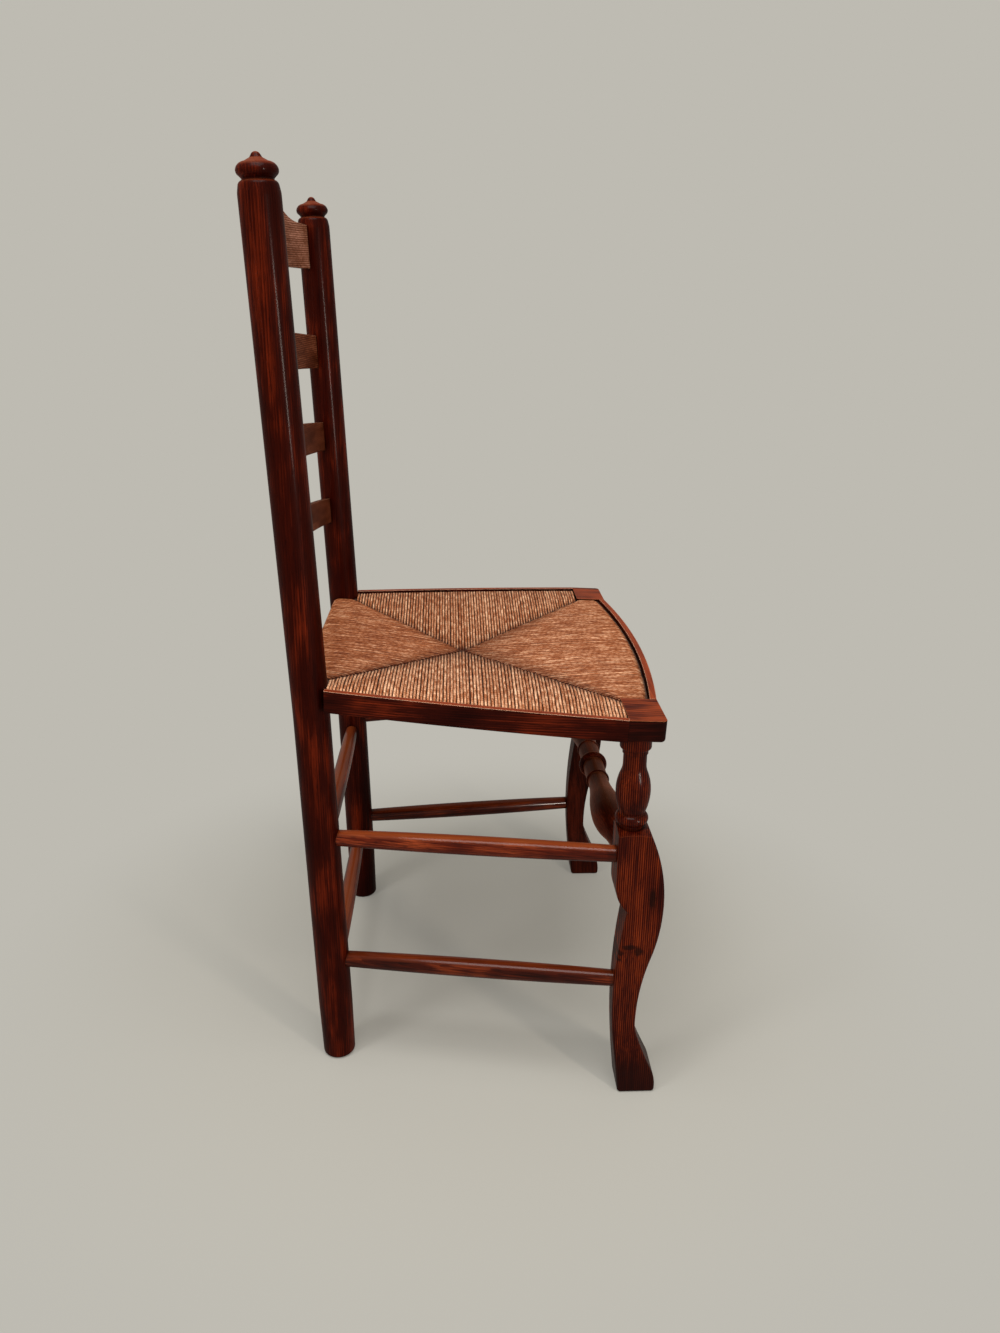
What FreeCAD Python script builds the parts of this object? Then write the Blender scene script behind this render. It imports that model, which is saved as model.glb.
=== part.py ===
# Rush-seated ladderback chair with turned and sawn front legs, all sizes in millimetres.
# The chair faces -Y, +Z is up, and left and right are the sitter's, so left is +X.
# The origin is on the floor under the middle of the chair.
import FreeCAD, Part
import math
import os
import re

import Sketcher

# Driving sizes, written once and read everywhere through the spreadsheet
SIZES = {
    # Back posts, straight up to the seat and leaning a little further back above it
    "post_dia": 39.0,
    "post_foot_dia": 37.0,
    "post_foot_taper": 70.0,
    "post_foot_round": 5.0,
    "post_foot_x": 174.0,
    "post_foot_y": 151.17,
    "post_splay": 0.5,
    "post_lower_rake": 1.4,
    "post_upper_rake": 2.2,
    "post_bend_up": 440.0,
    "post_lap": 9.75,
    "back_height": 970.0,
    # Finial turned on the top of each post, levels measured down from its tip
    "knob_dia": 8.6,
    "knob_down": 2.6,
    "knob_foot_dia": 11.4,
    "knob_foot_down": 4.9,
    "cone_dia": 22.8,
    "cone_down": 8.0,
    "bead_dia": 38.0,
    "bead_down": 14.5,
    "bead_top_round": 8.4,
    "bead_under_round": 5.4,
    "bead_foot_dia": 32.8,
    "bead_foot_down": 19.9,
    "neck_dia": 29.0,
    "neck_down": 22.0,
    "neck_width": 1.2,
    "shoulder_round": 5.0,
    "shoulder_edge_in": 1.2,
    "shoulder_edge_down": 27.5,
    "shoulder_down": 36.0,
    # Ladder slats, bent backwards between the posts, counted from the top
    "slat_thick": 7.0,
    "slat_setback": 6.0,
    "slat_bow": 24.0,
    "slat_tenon": 13.0,
    "top_slat_down": 82.0,
    "top_slat_end": 48.5,
    "top_slat_ear": 50.0,
    "top_slat_ear_in": 140.0,
    "top_slat_foot": 65.0,
    "top_slat_foot_in": 72.0,
    "top_slat_crest": 76.0,
    "slat_2_step": 118.0,
    "slat_3_step": 102.0,
    "slat_4_step": 94.0,
    "slat_2_tall": 38.5,
    "slat_3_tall": 35.0,
    "slat_4_tall": 31.0,
    "slat_top_rise": 9.0,
    "slat_bottom_rise": 5.0,
    # Seat frame, measured from the joint line behind the corner blocks
    "joint_behind_leg": 11.2,
    "seat_top_up": 458.8,
    "seat_slope": 2.2,
    "block_past_leg": 19.9,
    "block_wide": 61.9,
    "block_deep": 38.6,
    "block_tall": 23.8,
    "block_round": 5.0,
    "block_edge_round": 4.0,
    "strip_thick": 7.0,
    "strip_past_post": 21.6,
    "strip_before_post": 18.0,
    "strip_bow": 4.0,
    "front_bow": 14.0,
    # Rails inside the rush, and the rush that is woven round them
    "rail_wide": 29.0,
    "front_rail_wide": 16.0,
    "back_rail_wide": 14.0,
    "back_rail_set": 2.5,
    "rail_tenon_wide": 10.0,
    "rail_tenon_long": 11.0,
    "rail_shoulder_gap": 5.0,
    "rush_drop": 1.2,
    "rush_below": 1.2,
    "rush_cover": 5.5,
    "rush_behind_post": 13.5,
    "rush_past_post": 7.8,
    "rush_dish": 15.0,
    "rush_dish_rim": 3.0,
    "rush_dish_floor": 0.06,
    "rush_round": 8.0,
    # Front legs, sawn to a curve in side view below a square block
    "leg_x": 236.4,
    "leg_y": -174.03,
    "leg_wide": 40.0,
    "block_front": 17.8,
    "block_rear": 15.5,
    "knee_front": 37.2,
    "knee_up": 246.0,
    "calf_up": 176.0,
    "ankle_front": 15.6,
    "ankle_up": 88.0,
    "ankle_wide": 27.0,
    "instep_front": 18.5,
    "instep_up": 71.0,
    "toe_top_front": 35.2,
    "toe_top_up": 31.0,
    "toe_front": 40.5,
    "foot_wide": 42.0,
    "foot_rear": 2.0,
    "foot_round": 4.0,
    "heel_rear": 8.0,
    "heel_up": 59.0,
    "shank_rear": 11.5,
    "shank_up": 125.0,
    "notch_rear": 2.2,
    "notch_up": 236.0,
    "corbel_up": 268.0,
    "corbel_lap": 1.0,
    "leg_rear_round": 4.0,
    "leg_front_round": 3.0,
    "corbel_edge_round": 3.0,
    # Turning above the square block of the front leg, levels measured down from the seat
    "turning_tall": 102.6,
    "trim_past": 1.0,
    "leg_tenon_dia": 16.0,
    "leg_tenon_long": 14.0,
    "collar_dia": 32.8,
    "collar_tall": 13.5,
    "collar_round": 2.5,
    "lip_dia": 26.6,
    "lip_tall": 3.0,
    "lip_down": 18.5,
    "leg_neck_dia": 24.4,
    "leg_neck_down": 31.0,
    "vase_dia": 36.5,
    "vase_turn": 0.3,
    "vase_down": 61.0,
    "vase_foot_dia": 27.5,
    "vase_foot_down": 85.0,
    "leg_ring_dia": 35.0,
    "leg_ring_tall": 11.0,
    "leg_ring_bulge": 3.0,
    "leg_ring_gap": 4.5,
    "leg_groove_dia": 25.0,
    "pommel_dia": 30.0,
    "pommel_deep": 4.5,
    "pommel_wide": 11.5,
    # Stretchers
    "side_stretcher_mid_dia": 21.5,
    "side_stretcher_end_dia": 18.0,
    "side_tenon_dia": 14.0,
    "side_upper_down": 33.5,
    "side_upper_rise": 9.6,
    "side_lower_up": 130.0,
    "right_lower_rise": 11.6,
    "left_lower_rise": -14.2,
    "side_stretcher_in_leg": 2.5,
    "rear_stretcher_mid_dia": 20.0,
    "rear_stretcher_end_dia": 16.5,
    "rear_tenon_dia": 13.0,
    "rear_lower_up": 105.0,
    "rear_upper_up": 274.0,
    "stretcher_entry": 4.0,
    "socket_deep": 12.5,
    "front_stretcher_down": 40.0,
    "front_stretcher_set": 7.5,
    "front_tenon_dia": 14.0,
    "front_ring_dia": 35.5,
    "front_ring_wide": 11.0,
    "front_ring_bulge": 3.0,
    "front_neck_dia": 26.0,
    "front_bead_from_middle": 46.0,
    "front_bead_dia": 28.6,
    "front_bead_wide": 4.5,
    "front_bead_bulge": 1.2,
    "front_waist_dia": 24.6,
    "front_bulb_dia": 39.0,
    "front_bulb_from_leg": 80.0,
    "front_end_dia": 16.0,
}

document = FreeCAD.newDocument("ladderback_chair")
sheet = document.addObject("Spreadsheet::Sheet", "Sizes")
for row, (alias, size) in enumerate(SIZES.items(), start=1):
    sheet.set(f"A{row}", alias)
    sheet.set(f"B{row}", str(size))
    sheet.setAlias(f"B{row}", alias)
document.recompute()

ALIAS = re.compile(r"\b(" + "|".join(sorted(SIZES, key=len, reverse=True)) + r")\b")
UP = FreeCAD.Vector(0, 0, 1)
ACROSS = FreeCAD.Vector(1, 0, 0)
SMOOTH = "smooth"
BEYOND = "60"
FULL_TURN = 360.0

# How near an edge must come to a level, and how far off the middle, to be picked for rounding
NEARLY = 0.1
OFF_MIDDLE = 1.0

# Places worked out from the driving sizes, as text that the expressions share
UPPER_RAKE = "tan(post_upper_rake * 1deg)"
LOWER_RAKE = "tan(post_lower_rake * 1deg)"
SPLAY = "tan(post_splay * 1deg)"
BEND_X = f"(post_foot_x + post_bend_up * {SPLAY})"
BEND_Y = f"(post_foot_y + post_bend_up * {LOWER_RAKE})"
SEAT_RISE = "tan(seat_slope * 1deg)"
SEAT_COS = "cos(seat_slope * 1deg)"
JOINT_Y = "(leg_y + joint_behind_leg)"
BLOCK_OUTER = "(leg_x + block_past_leg)"
BLOCK_INNER = "(leg_x + block_past_leg - block_wide)"
LEG_TOP = f"(seat_top_up - block_tall - joint_behind_leg * {SEAT_RISE})"
BLOCK_TOP = f"({LEG_TOP} - turning_tall)"
RUSH_TALL = "(block_tall + rush_below - rush_drop)"
RAIL_TALL = f"({RUSH_TALL} - 2 * rush_cover)"
RAIL_DROP = "(rush_drop + rush_cover)"


def tied(text):
    """Expression text in which every size name points at the spreadsheet."""
    return ALIAS.sub(r"Sizes.\1", text)


def value(text):
    """Number that an expression of size names has now."""
    return float(sheet.evalExpression(tied(text)))


def post_x(level):
    """Expression for the distance of a back post's axis from the middle at a level."""
    return f"(post_foot_x + ({level}) * {SPLAY})"


def post_y(level, above_bend=True):
    """Expression for the place of a back post's axis front to back at a level."""
    if above_bend:
        return f"({BEND_Y} + (({level}) - post_bend_up) * {UPPER_RAKE})"
    return f"(post_foot_y + ({level}) * {LOWER_RAKE})"


SEAT_REAR_UP = f"(seat_top_up + (post_foot_y - {JOINT_Y}) * {SEAT_RISE})"
POST_X = post_x(SEAT_REAR_UP)
POST_Y = f"(({post_y(SEAT_REAR_UP)} - {JOINT_Y}) / {SEAT_COS})"
STRIP_END_X = f"({POST_X} + strip_past_post)"
STRIP_END_Y = f"({POST_Y} - strip_before_post)"


def bow_radius(half, rise):
    """Expression for the radius of an arc over a half chord with a rise."""
    return f"((({half})^2 + ({rise})^2) / (2 * ({rise})))"


def ending_radius(across, along):
    """Expression for the radius of an arc that ends along the direction of travel."""
    return bow_radius(along, across)


def origin_plane(body, role):
    """Origin plane of a body, found by its role."""
    return next(f for f in body.Origin.OriginFeatures if f.Role == role)


def arc_between(start, end, radius, turn):
    """Arc of a radius from start to end that turns left (1) or right (-1)."""
    chord = end - start
    height = math.sqrt(max(radius ** 2 - (chord.Length / 2) ** 2, 0.0))
    left = FreeCAD.Vector(-chord.y, chord.x, 0) / chord.Length
    centre = (start + end) / 2 + left * (height * turn)
    first, last = (start, end) if turn > 0 else (end, start)
    angles = [math.atan2(p.y - centre.y, p.x - centre.x) for p in (first, last)]
    return Part.ArcOfCircle(Part.Circle(centre, UP, radius), angles[0], angles[1])


def edge_between(start, end, corner, heading):
    """Edge of an outline from start to end, its turn, and the heading at its end."""
    chord = end - start
    direction = math.atan2(chord.y, chord.x)
    if len(corner) == 2:
        return Part.LineSegment(start, end), 0, direction
    if corner[2] == SMOOTH:
        half = math.remainder(direction - heading, 2 * math.pi)
        turn = 1 if half > 0 else -1
        radius = chord.Length / (2 * abs(math.sin(half)))
        return arc_between(start, end, radius, turn), turn, heading + 2 * half
    radius, turn = value(corner[2]), corner[3]
    half = math.asin(min(1.0, chord.Length / (2 * radius)))
    return arc_between(start, end, radius, turn), turn, direction + turn * half


def pin(sketch, constraint, text):
    """Constraint of a sketch whose value is tied to an expression."""
    number = sketch.addConstraint(Sketcher.Constraint(*constraint, value(text)))
    sketch.setExpression(f"Constraints[{number}]", tied(text))


def outline(body, name, role, corners, lift="0"):
    """Closed sketch through corners, each tied to the sheet.

    A corner is (x, y), reached by a straight line; (x, y, radius, turn), reached by an
    arc of that radius that turns left (1) or right (-1); or (x, y, SMOOTH), reached by
    an arc that goes on in the direction of the edge before it.
    """
    sketch = body.newObject("Sketcher::SketchObject", name)
    sketch.AttachmentSupport = [(origin_plane(body, role), "")]
    sketch.MapMode = "FlatFace"
    if lift != "0":
        sketch.setExpression("AttachmentOffset.Base.z", tied(lift))
    points = [FreeCAD.Vector(value(c[0]), value(c[1]), 0) for c in corners]
    ends = []
    heading = 0.0
    for index, corner in enumerate(corners):
        shape, turn, heading = edge_between(points[index - 1], points[index], corner, heading)
        edge = sketch.addGeometry(shape, False)
        ends.append((edge, 2, 1) if turn < 0 else (edge, 1, 2))
    for index, corner in enumerate(corners):
        edge, _, last = ends[index]
        following = (index + 1) % len(corners)
        after, first, _ = ends[following]
        smooth = len(corners[following]) == 3
        joint = "Tangent" if smooth else "Coincident"
        sketch.addConstraint(Sketcher.Constraint(joint, edge, last, after, first))
        pin(sketch, ("DistanceX", -1, 1, edge, last), corner[0])
        pin(sketch, ("DistanceY", -1, 1, edge, last), corner[1])
        if len(corner) == 4:
            pin(sketch, ("Radius", edge), corner[2])
    sketch.Visibility = False
    return sketch


def padded(name, role, corners, thickness, down=False, lift="0"):
    """Body padded from an outline, to both sides of its plane or down from it."""
    body = document.addObject("PartDesign::Body", name)
    pad = body.newObject("PartDesign::Pad", name + "_pad")
    pad.Profile = outline(body, name + "_outline", role, corners, lift)
    pad.SideType = "One side" if down else "Symmetric"
    pad.Reversed = down
    pad.setExpression("Length", tied(thickness))
    body.Tip = pad
    document.recompute()
    return body


def turned(name, corners):
    """Body turned about its own Z axis from half an outline."""
    body = document.addObject("PartDesign::Body", name)
    turning = body.newObject("PartDesign::Revolution", name + "_turning")
    sketch = outline(body, name + "_outline", "XZ_Plane", corners)
    turning.Profile = sketch
    turning.ReferenceAxis = (sketch, ["V_Axis"])
    turning.Angle = FULL_TURN
    body.Tip = turning
    document.recompute()
    return body


def rounded(body, radius, chosen):
    """Body with the edges that the test picks out rounded."""
    base = body.Tip
    names = [f"Edge{i}" for i, edge in enumerate(base.Shape.Edges, start=1) if chosen(edge)]
    feature = body.newObject("PartDesign::Fillet", body.Name + "_rounding")
    feature.Base = (base, names)
    feature.setExpression("Radius", tied(radius))
    body.Tip = feature
    document.recompute()
    return body


def joined(name, pieces):
    """One solid from pieces that overlap or touch all over a face."""
    fuse = document.addObject("Part::MultiFuse", name)
    fuse.Shapes = pieces
    fuse.Refine = True
    return fuse


def shared(name, first, second):
    """What two pieces have in common."""
    common = document.addObject("Part::Common", name)
    common.Base = first
    common.Tool = second
    return common


def cut_by(name, base, tools):
    """Piece cut by others, such as the ones that are let into it."""
    cut = document.addObject("Part::Cut", name)
    cut.Base = base
    if len(tools) == 1:
        cut.Tool = tools[0]
    else:
        group = document.addObject("Part::Compound", name + "_sockets")
        group.Links = tools
        cut.Tool = group
    return cut


def mirrored(name, source):
    """Mirror image of a piece across the chair's middle."""
    mirror = document.addObject("Part::Mirroring", name)
    mirror.Source = source
    mirror.Base = FreeCAD.Vector(0, 0, 0)
    mirror.Normal = ACROSS
    return mirror


def place(piece, position, axis=UP, angle="0"):
    """Placement of a piece, tied to expressions for its position and angle."""
    base = FreeCAD.Vector(*(value(part) for part in position))
    piece.Placement = FreeCAD.Placement(base, FreeCAD.Rotation(axis, value(angle)))
    for key, text in zip("xyz", position):
        piece.setExpression(f"Placement.Base.{key}", tied(text))
    if angle != "0":
        piece.setExpression("Placement.Rotation.Angle", tied(f"{angle} * 1deg"))
    return piece


def aim(piece, start, end):
    """Placement that lays a turned piece's Z axis from one place to another."""
    first = FreeCAD.Vector(*(value(part) for part in start))
    last = FreeCAD.Vector(*(value(part) for part in end))
    piece.Placement = FreeCAD.Placement(first, FreeCAD.Rotation(UP, last - first))
    return piece


def on_seat(piece):
    """Placement in the plane of the seat, which climbs towards the back."""
    return place(piece, ("0", JOINT_Y, "seat_top_up"), ACROSS, "seat_slope")


def distance(start, end):
    """Expression for the distance between two places."""
    squares = " + ".join(f"(({a}) - ({b}))^2" for a, b in zip(start, end))
    return f"sqrt({squares})"


def half_space(name, position, direction):
    """Large block whose lower face passes through a place, square to a direction."""
    size = 4 * value("back_height")
    block = document.addObject("Part::Box", name)
    for side in ("Length", "Width", "Height"):
        setattr(block, side, size)
    turn = FreeCAD.Rotation(UP, direction)
    corner = turn.multVec(FreeCAD.Vector(-size / 2, -size / 2, 0))
    block.Placement = FreeCAD.Placement(FreeCAD.Vector(*position) + corner, turn)
    return block


def direction_between(start, end):
    """Direction from one place to another, both given as expressions."""
    steps = (value(f"({b}) - ({a})") for a, b in zip(start, end))
    return FreeCAD.Vector(*steps).normalize()


def make_post():
    """Left back post: turned upper part with its finial, and lower part with its foot."""
    bend = (BEND_X, BEND_Y, "post_bend_up")
    foot = ("post_foot_x", "post_foot_y", "0")
    tip = (post_x("back_height"), post_y("back_height"), "back_height")
    top = f"(post_lap + {distance(bend, tip)})"
    upper = turned("post_upper", [
        ("0", "0"),
        ("post_dia / 2", "0"),
        ("post_dia / 2", f"{top} - shoulder_down"),
        ("post_dia / 2 - shoulder_edge_in", f"{top} - shoulder_edge_down",
         ending_radius("shoulder_edge_in", "(shoulder_down - shoulder_edge_down)"), 1),
        ("neck_dia / 2", f"{top} - neck_down - neck_width", "shoulder_round", 1),
        ("neck_dia / 2", f"{top} - neck_down"),
        ("bead_foot_dia / 2", f"{top} - bead_foot_down"),
        ("bead_dia / 2", f"{top} - bead_down", "bead_under_round", 1),
        ("cone_dia / 2", f"{top} - cone_down", "bead_top_round", 1),
        ("knob_foot_dia / 2", f"{top} - knob_foot_down"),
        ("knob_dia / 2", f"{top} - knob_down"),
        ("0", top, bow_radius("(knob_dia / 2)", "knob_down"), 1),
    ])
    length = f"({distance(foot, bend)} + post_lap)"
    lower = turned("post_lower", [
        ("0", "0"),
        ("post_foot_dia / 2 - post_foot_round", "0"),
        ("post_foot_dia / 2", "post_foot_round", "post_foot_round", 1),
        ("post_dia / 2", "post_foot_taper"),
        ("post_dia / 2", length),
        ("0", length),
    ])
    upwards = direction_between(bend, tip)
    below = direction_between(foot, bend)
    place_at = FreeCAD.Vector(*(value(part) for part in bend))
    aim(upper, bend, tip)
    upper.Placement.Base = place_at - upwards * value("post_lap")
    aim(lower, foot, bend)
    mitre = upwards + below
    above = half_space("above_bend", place_at, mitre)
    under = half_space("under_bend", place_at, mitre * -1)
    parts = [cut_by("post_top_part", upper, [under]), cut_by("post_low_part", lower, [above])]
    return joined("post_whole", parts)


def make_slat(name, level, face_corners):
    """Ladder slat: its elevation cut from a plate that is bent backwards."""
    half = f"({post_x(level)} - post_dia / 2 + slat_tenon)"
    front = "(slat_setback - slat_thick / 2)"
    radius = bow_radius(half, "slat_bow")
    plate = padded(name + "_plate", "XY_Plane", [
        (f"-{half}", front),
        (half, front, f"({radius} - slat_thick / 2)", -1),
        (half, f"{front} + slat_thick"),
        (f"-{half}", f"{front} + slat_thick", f"({radius} + slat_thick / 2)", 1),
    ], "4 * top_slat_crest")
    face = padded(name + "_face", "XZ_Plane", face_corners(half), "4 * (slat_bow + slat_thick)")
    for piece in (plate, face):
        place(piece, ("0", post_y(level), level), ACROSS, "-post_upper_rake")
    return shared(name, face, plate)


def plain_slat_face(tall):
    """Function for the elevation of a plain slat that is this tall at its ends."""
    def corners(half):
        return [
            (f"-{half}", "0"),
            (half, "0", bow_radius(half, "slat_bottom_rise"), -1),
            (half, tall),
            (f"-{half}", tall, bow_radius(half, "slat_top_rise"), 1),
        ]
    return corners


def crested_slat_face(half):
    """Elevation of the top slat: low ears, then a cove up to an arched crest."""
    cove = ending_radius("(top_slat_foot - top_slat_ear)", "(top_slat_ear_in - top_slat_foot_in)")
    crest = bow_radius("top_slat_foot_in", "(top_slat_crest - top_slat_foot)")
    return [
        (f"-{half}", "0"),
        (half, "0"),
        (half, "top_slat_end"),
        ("top_slat_ear_in", "top_slat_ear"),
        ("top_slat_foot_in", "top_slat_foot", cove, -1),
        ("-top_slat_foot_in", "top_slat_foot", crest, 1),
        ("-top_slat_ear_in", "top_slat_ear", cove, -1),
        (f"-{half}", "top_slat_end"),
    ]


def make_block():
    """Left corner block of the seat, rounded at its outer corner and underneath."""
    block = padded("block_body", "XY_Plane", [
        (BLOCK_INNER, "0"),
        (BLOCK_INNER, "-block_deep"),
        (f"{BLOCK_OUTER} - block_round", "-block_deep"),
        (BLOCK_OUTER, "block_round - block_deep", "block_round", 1),
        (BLOCK_OUTER, "0"),
    ], "block_tall", down=True)
    inner = value(BLOCK_INNER) + OFF_MIDDLE
    low = OFF_MIDDLE - value("block_tall")

    def underneath(edge):
        middle = edge.CenterOfMass
        return middle.z < low and middle.x > inner and middle.y < -OFF_MIDDLE
    return on_seat(rounded(block, "block_edge_round", underneath))


def make_side_strip():
    """Left edge strip outside the rush, from the corner block to the back post."""
    radius = bow_radius(f"({STRIP_END_Y} / 2)", "strip_bow")
    return on_seat(padded("strip_body", "XY_Plane", [
        (f"{BLOCK_OUTER} - strip_thick", "0", f"({radius} - strip_thick)", -1),
        (BLOCK_OUTER, "0"),
        (STRIP_END_X, STRIP_END_Y, radius, 1),
        (f"{STRIP_END_X} - strip_thick", STRIP_END_Y),
    ], "block_tall", down=True))


def make_front_strip():
    """Front edge strip, bowed forward between the corner blocks."""
    radius = bow_radius(BLOCK_INNER, "front_bow")
    return on_seat(padded("edge_strip_front", "XY_Plane", [
        (f"-{BLOCK_INNER}", "-block_deep"),
        (BLOCK_INNER, "-block_deep", radius, 1),
        (BLOCK_INNER, "strip_thick - block_deep"),
        (f"-{BLOCK_INNER}", "strip_thick - block_deep", f"({radius} - strip_thick)", -1),
    ], "block_tall", down=True))


def seat_rail(name, corners):
    """Rail of the seat frame, as deep as the rush that is woven round it leaves."""
    return on_seat(padded(name, "XY_Plane", corners, RAIL_TALL, down=True,
                          lift=f"-{RAIL_DROP}"))


def make_side_rail():
    """Left side rail, tenoned into the corner block and the back post."""
    front = f"({BLOCK_OUTER} - strip_thick - rush_cover)"
    rear = f"({STRIP_END_X} - strip_thick - rush_cover)"
    post_face = f"({POST_Y} - post_dia / 2)"
    shoulder = f"({post_face} - rail_shoulder_gap)"
    tenon = f"({POST_X} - rail_tenon_wide / 2)"
    return seat_rail("seat_rail_left", [
        (f"{front} - rail_wide", "0"),
        (f"{front} - rail_wide", "-rail_tenon_long"),
        (f"{front} - rail_wide + rail_tenon_wide", "-rail_tenon_long"),
        (f"{front} - rail_wide + rail_tenon_wide", "0"),
        (front, "0"),
        (rear, shoulder),
        (f"{tenon} + rail_tenon_wide", shoulder),
        (f"{tenon} + rail_tenon_wide", f"{post_face} + rail_tenon_long"),
        (tenon, f"{post_face} + rail_tenon_long"),
        (tenon, shoulder),
        (f"{rear} - rail_wide", shoulder),
    ])


def make_front_rail():
    """Front rail, bowed like the strip in front of it and tenoned into the blocks."""
    face = "(strip_thick + rush_cover - block_deep)"
    radius = f"({bow_radius(BLOCK_INNER, 'front_bow')} - strip_thick - rush_cover)"
    end = f"({BLOCK_INNER} + rail_tenon_long)"
    tenon = f"({face} + rail_tenon_wide)"
    return seat_rail("seat_rail_front", [
        (f"-{BLOCK_INNER}", face),
        (BLOCK_INNER, face, radius, 1),
        (end, face),
        (end, tenon),
        (BLOCK_INNER, tenon),
        (BLOCK_INNER, f"{face} + front_rail_wide"),
        (f"-{BLOCK_INNER}", f"{face} + front_rail_wide"),
        (f"-{BLOCK_INNER}", tenon),
        (f"-{end}", tenon),
        (f"-{end}", face),
    ])


def make_back_rail():
    """Back rail between the posts, its tenons behind those of the side rails."""
    front = f"({POST_Y} + back_rail_set - back_rail_wide / 2)"
    half = f"({POST_X} - post_dia / 2 + rail_tenon_long)"
    return seat_rail("seat_rail_back", [
        (f"-{half}", front),
        (half, front),
        (half, f"{front} + back_rail_wide"),
        (f"-{half}", f"{front} + back_rail_wide"),
    ])


def make_rush():
    """Rush seat, dished to the middle in four faces that meet on the diagonals."""
    face = "(strip_thick - block_deep)"
    front_radius = f"({bow_radius(BLOCK_INNER, 'front_bow')} - strip_thick)"
    side_radius = f"({bow_radius(f'({STRIP_END_Y} / 2)', 'strip_bow')} - strip_thick)"
    rear = f"({POST_Y} + rush_behind_post)"
    side = f"({BLOCK_OUTER} - strip_thick)"
    strip_end = f"({STRIP_END_X} - strip_thick)"
    behind = f"({POST_X} - rush_past_post)"
    rush = padded("rush_body", "XY_Plane", [
        (f"-{BLOCK_INNER}", "0"),
        (f"-{BLOCK_INNER}", face),
        (BLOCK_INNER, face, front_radius, 1),
        (BLOCK_INNER, "0"),
        (side, "0"),
        (strip_end, STRIP_END_Y, side_radius, 1),
        (POST_X, POST_Y),
        (behind, rear),
        (f"-{behind}", rear),
        (f"-{POST_X}", POST_Y),
        (f"-{strip_end}", STRIP_END_Y),
        (f"-{side}", "0", side_radius, 1),
    ], RUSH_TALL, down=True, lift="-rush_drop")
    rear_face = value(rear) - NEARLY
    rush = rounded(rush, "rush_round", lambda edge: edge.CenterOfMass.y > rear_face
                   and abs(edge.CenterOfMass.x) < OFF_MIDDLE)
    inner = (f"({BLOCK_INNER} - rush_dish_rim)", "rush_dish_rim")
    outer = (f"({POST_X} - post_dia / 2 - rush_dish_rim)", f"({POST_Y} - post_dia / 2)")
    middle = f"({POST_Y} / 2)"
    rim = [inner, outer, (f"-{outer[0]}", outer[1]), (f"-{inner[0]}", inner[1])]
    floor = [(f"{x} * rush_dish_floor", f"{middle} + ({y} - {middle}) * rush_dish_floor")
             for x, y in rim]
    dish = rush.newObject("PartDesign::SubtractiveLoft", "rush_dish")
    dish.Profile = outline(rush, "dish_rim", "XY_Plane", rim, "-rush_drop")
    dish.Sections = [outline(rush, "dish_floor", "XY_Plane", floor, "-rush_drop - rush_dish")]
    dish.Ruled = True
    rush.Tip = dish
    document.recompute()
    return on_seat(rush)


def make_sawn_leg():
    """Lower front leg: sawn in side view, then tapered to the ankle in front view."""
    share = "((calf_up - ankle_up) / (knee_up - ankle_up))"
    calf = f"(ankle_front + (knee_front - ankle_front) * {share})"
    leg = padded("leg_sawn", "YZ_Plane", [
        ("foot_rear - foot_round", "0"),
        ("foot_rear", "foot_round", "foot_round", 1),
        ("heel_rear", "heel_up"),
        ("shank_rear", "shank_up", SMOOTH),
        ("notch_rear", "notch_up", SMOOTH),
        ("notch_rear", BLOCK_TOP),
        ("-block_front", BLOCK_TOP),
        ("-knee_front", "knee_up",
         ending_radius("(knee_front - block_front)", f"({BLOCK_TOP} - knee_up)"), 1),
        (f"-{calf}", "calf_up", SMOOTH),
        ("-ankle_front", "ankle_up", SMOOTH),
        ("-instep_front", "instep_up",
         ending_radius("(instep_front - ankle_front)", "(ankle_up - instep_up)"), -1),
        ("-toe_top_front", "toe_top_up", SMOOTH),
        ("-toe_front", "foot_round", SMOOTH),
        ("foot_round - toe_front", "0", "foot_round", 1),
    ], "foot_wide")
    edge = ("foot_wide", "leg_wide", "ankle_wide")
    foot, thigh, ankle = (f"({name} / 2)" for name in edge)
    pocket = leg.newObject("PartDesign::Pocket", "leg_taper")
    pocket.Profile = outline(leg, "leg_taper_outline", "XZ_Plane", [
        (BEYOND, "toe_top_up"),
        (BEYOND, f"{BLOCK_TOP} + trim_past"),
        (thigh, f"{BLOCK_TOP} + trim_past"),
        (thigh, "knee_up"),
        (f"{ankle} + ({thigh} - {ankle}) * {share}", "calf_up", SMOOTH),
        (ankle, "ankle_up", SMOOTH),
        (f"({foot} + {ankle}) / 2", "heel_up", SMOOTH),
        (foot, "toe_top_up", SMOOTH),
    ])
    pocket.Type = "ThroughAll"
    pocket.SideType = "Symmetric"
    leg.Tip = pocket
    document.recompute()
    mirror = leg.newObject("PartDesign::Mirrored", "leg_taper_mirrored")
    mirror.Originals = [pocket]
    mirror.MirrorPlane = (origin_plane(leg, "YZ_Plane"), [""])
    leg.Tip = mirror
    document.recompute()
    low = value("foot_round") + NEARLY
    high = value("ankle_up") + NEARLY
    forward = -value("leg_front_round")
    rounded(leg, "leg_rear_round", lambda e: abs(e.CenterOfMass.x) > OFF_MIDDLE
            and e.CenterOfMass.y > 0 and e.CenterOfMass.z > low)
    rounded(leg, "leg_front_round", lambda e: abs(e.CenterOfMass.x) > OFF_MIDDLE
            and e.CenterOfMass.y < forward and e.CenterOfMass.z > low and e.BoundBox.ZMax < high)
    return place(leg, ("leg_x", "leg_y", "0"))


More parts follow.
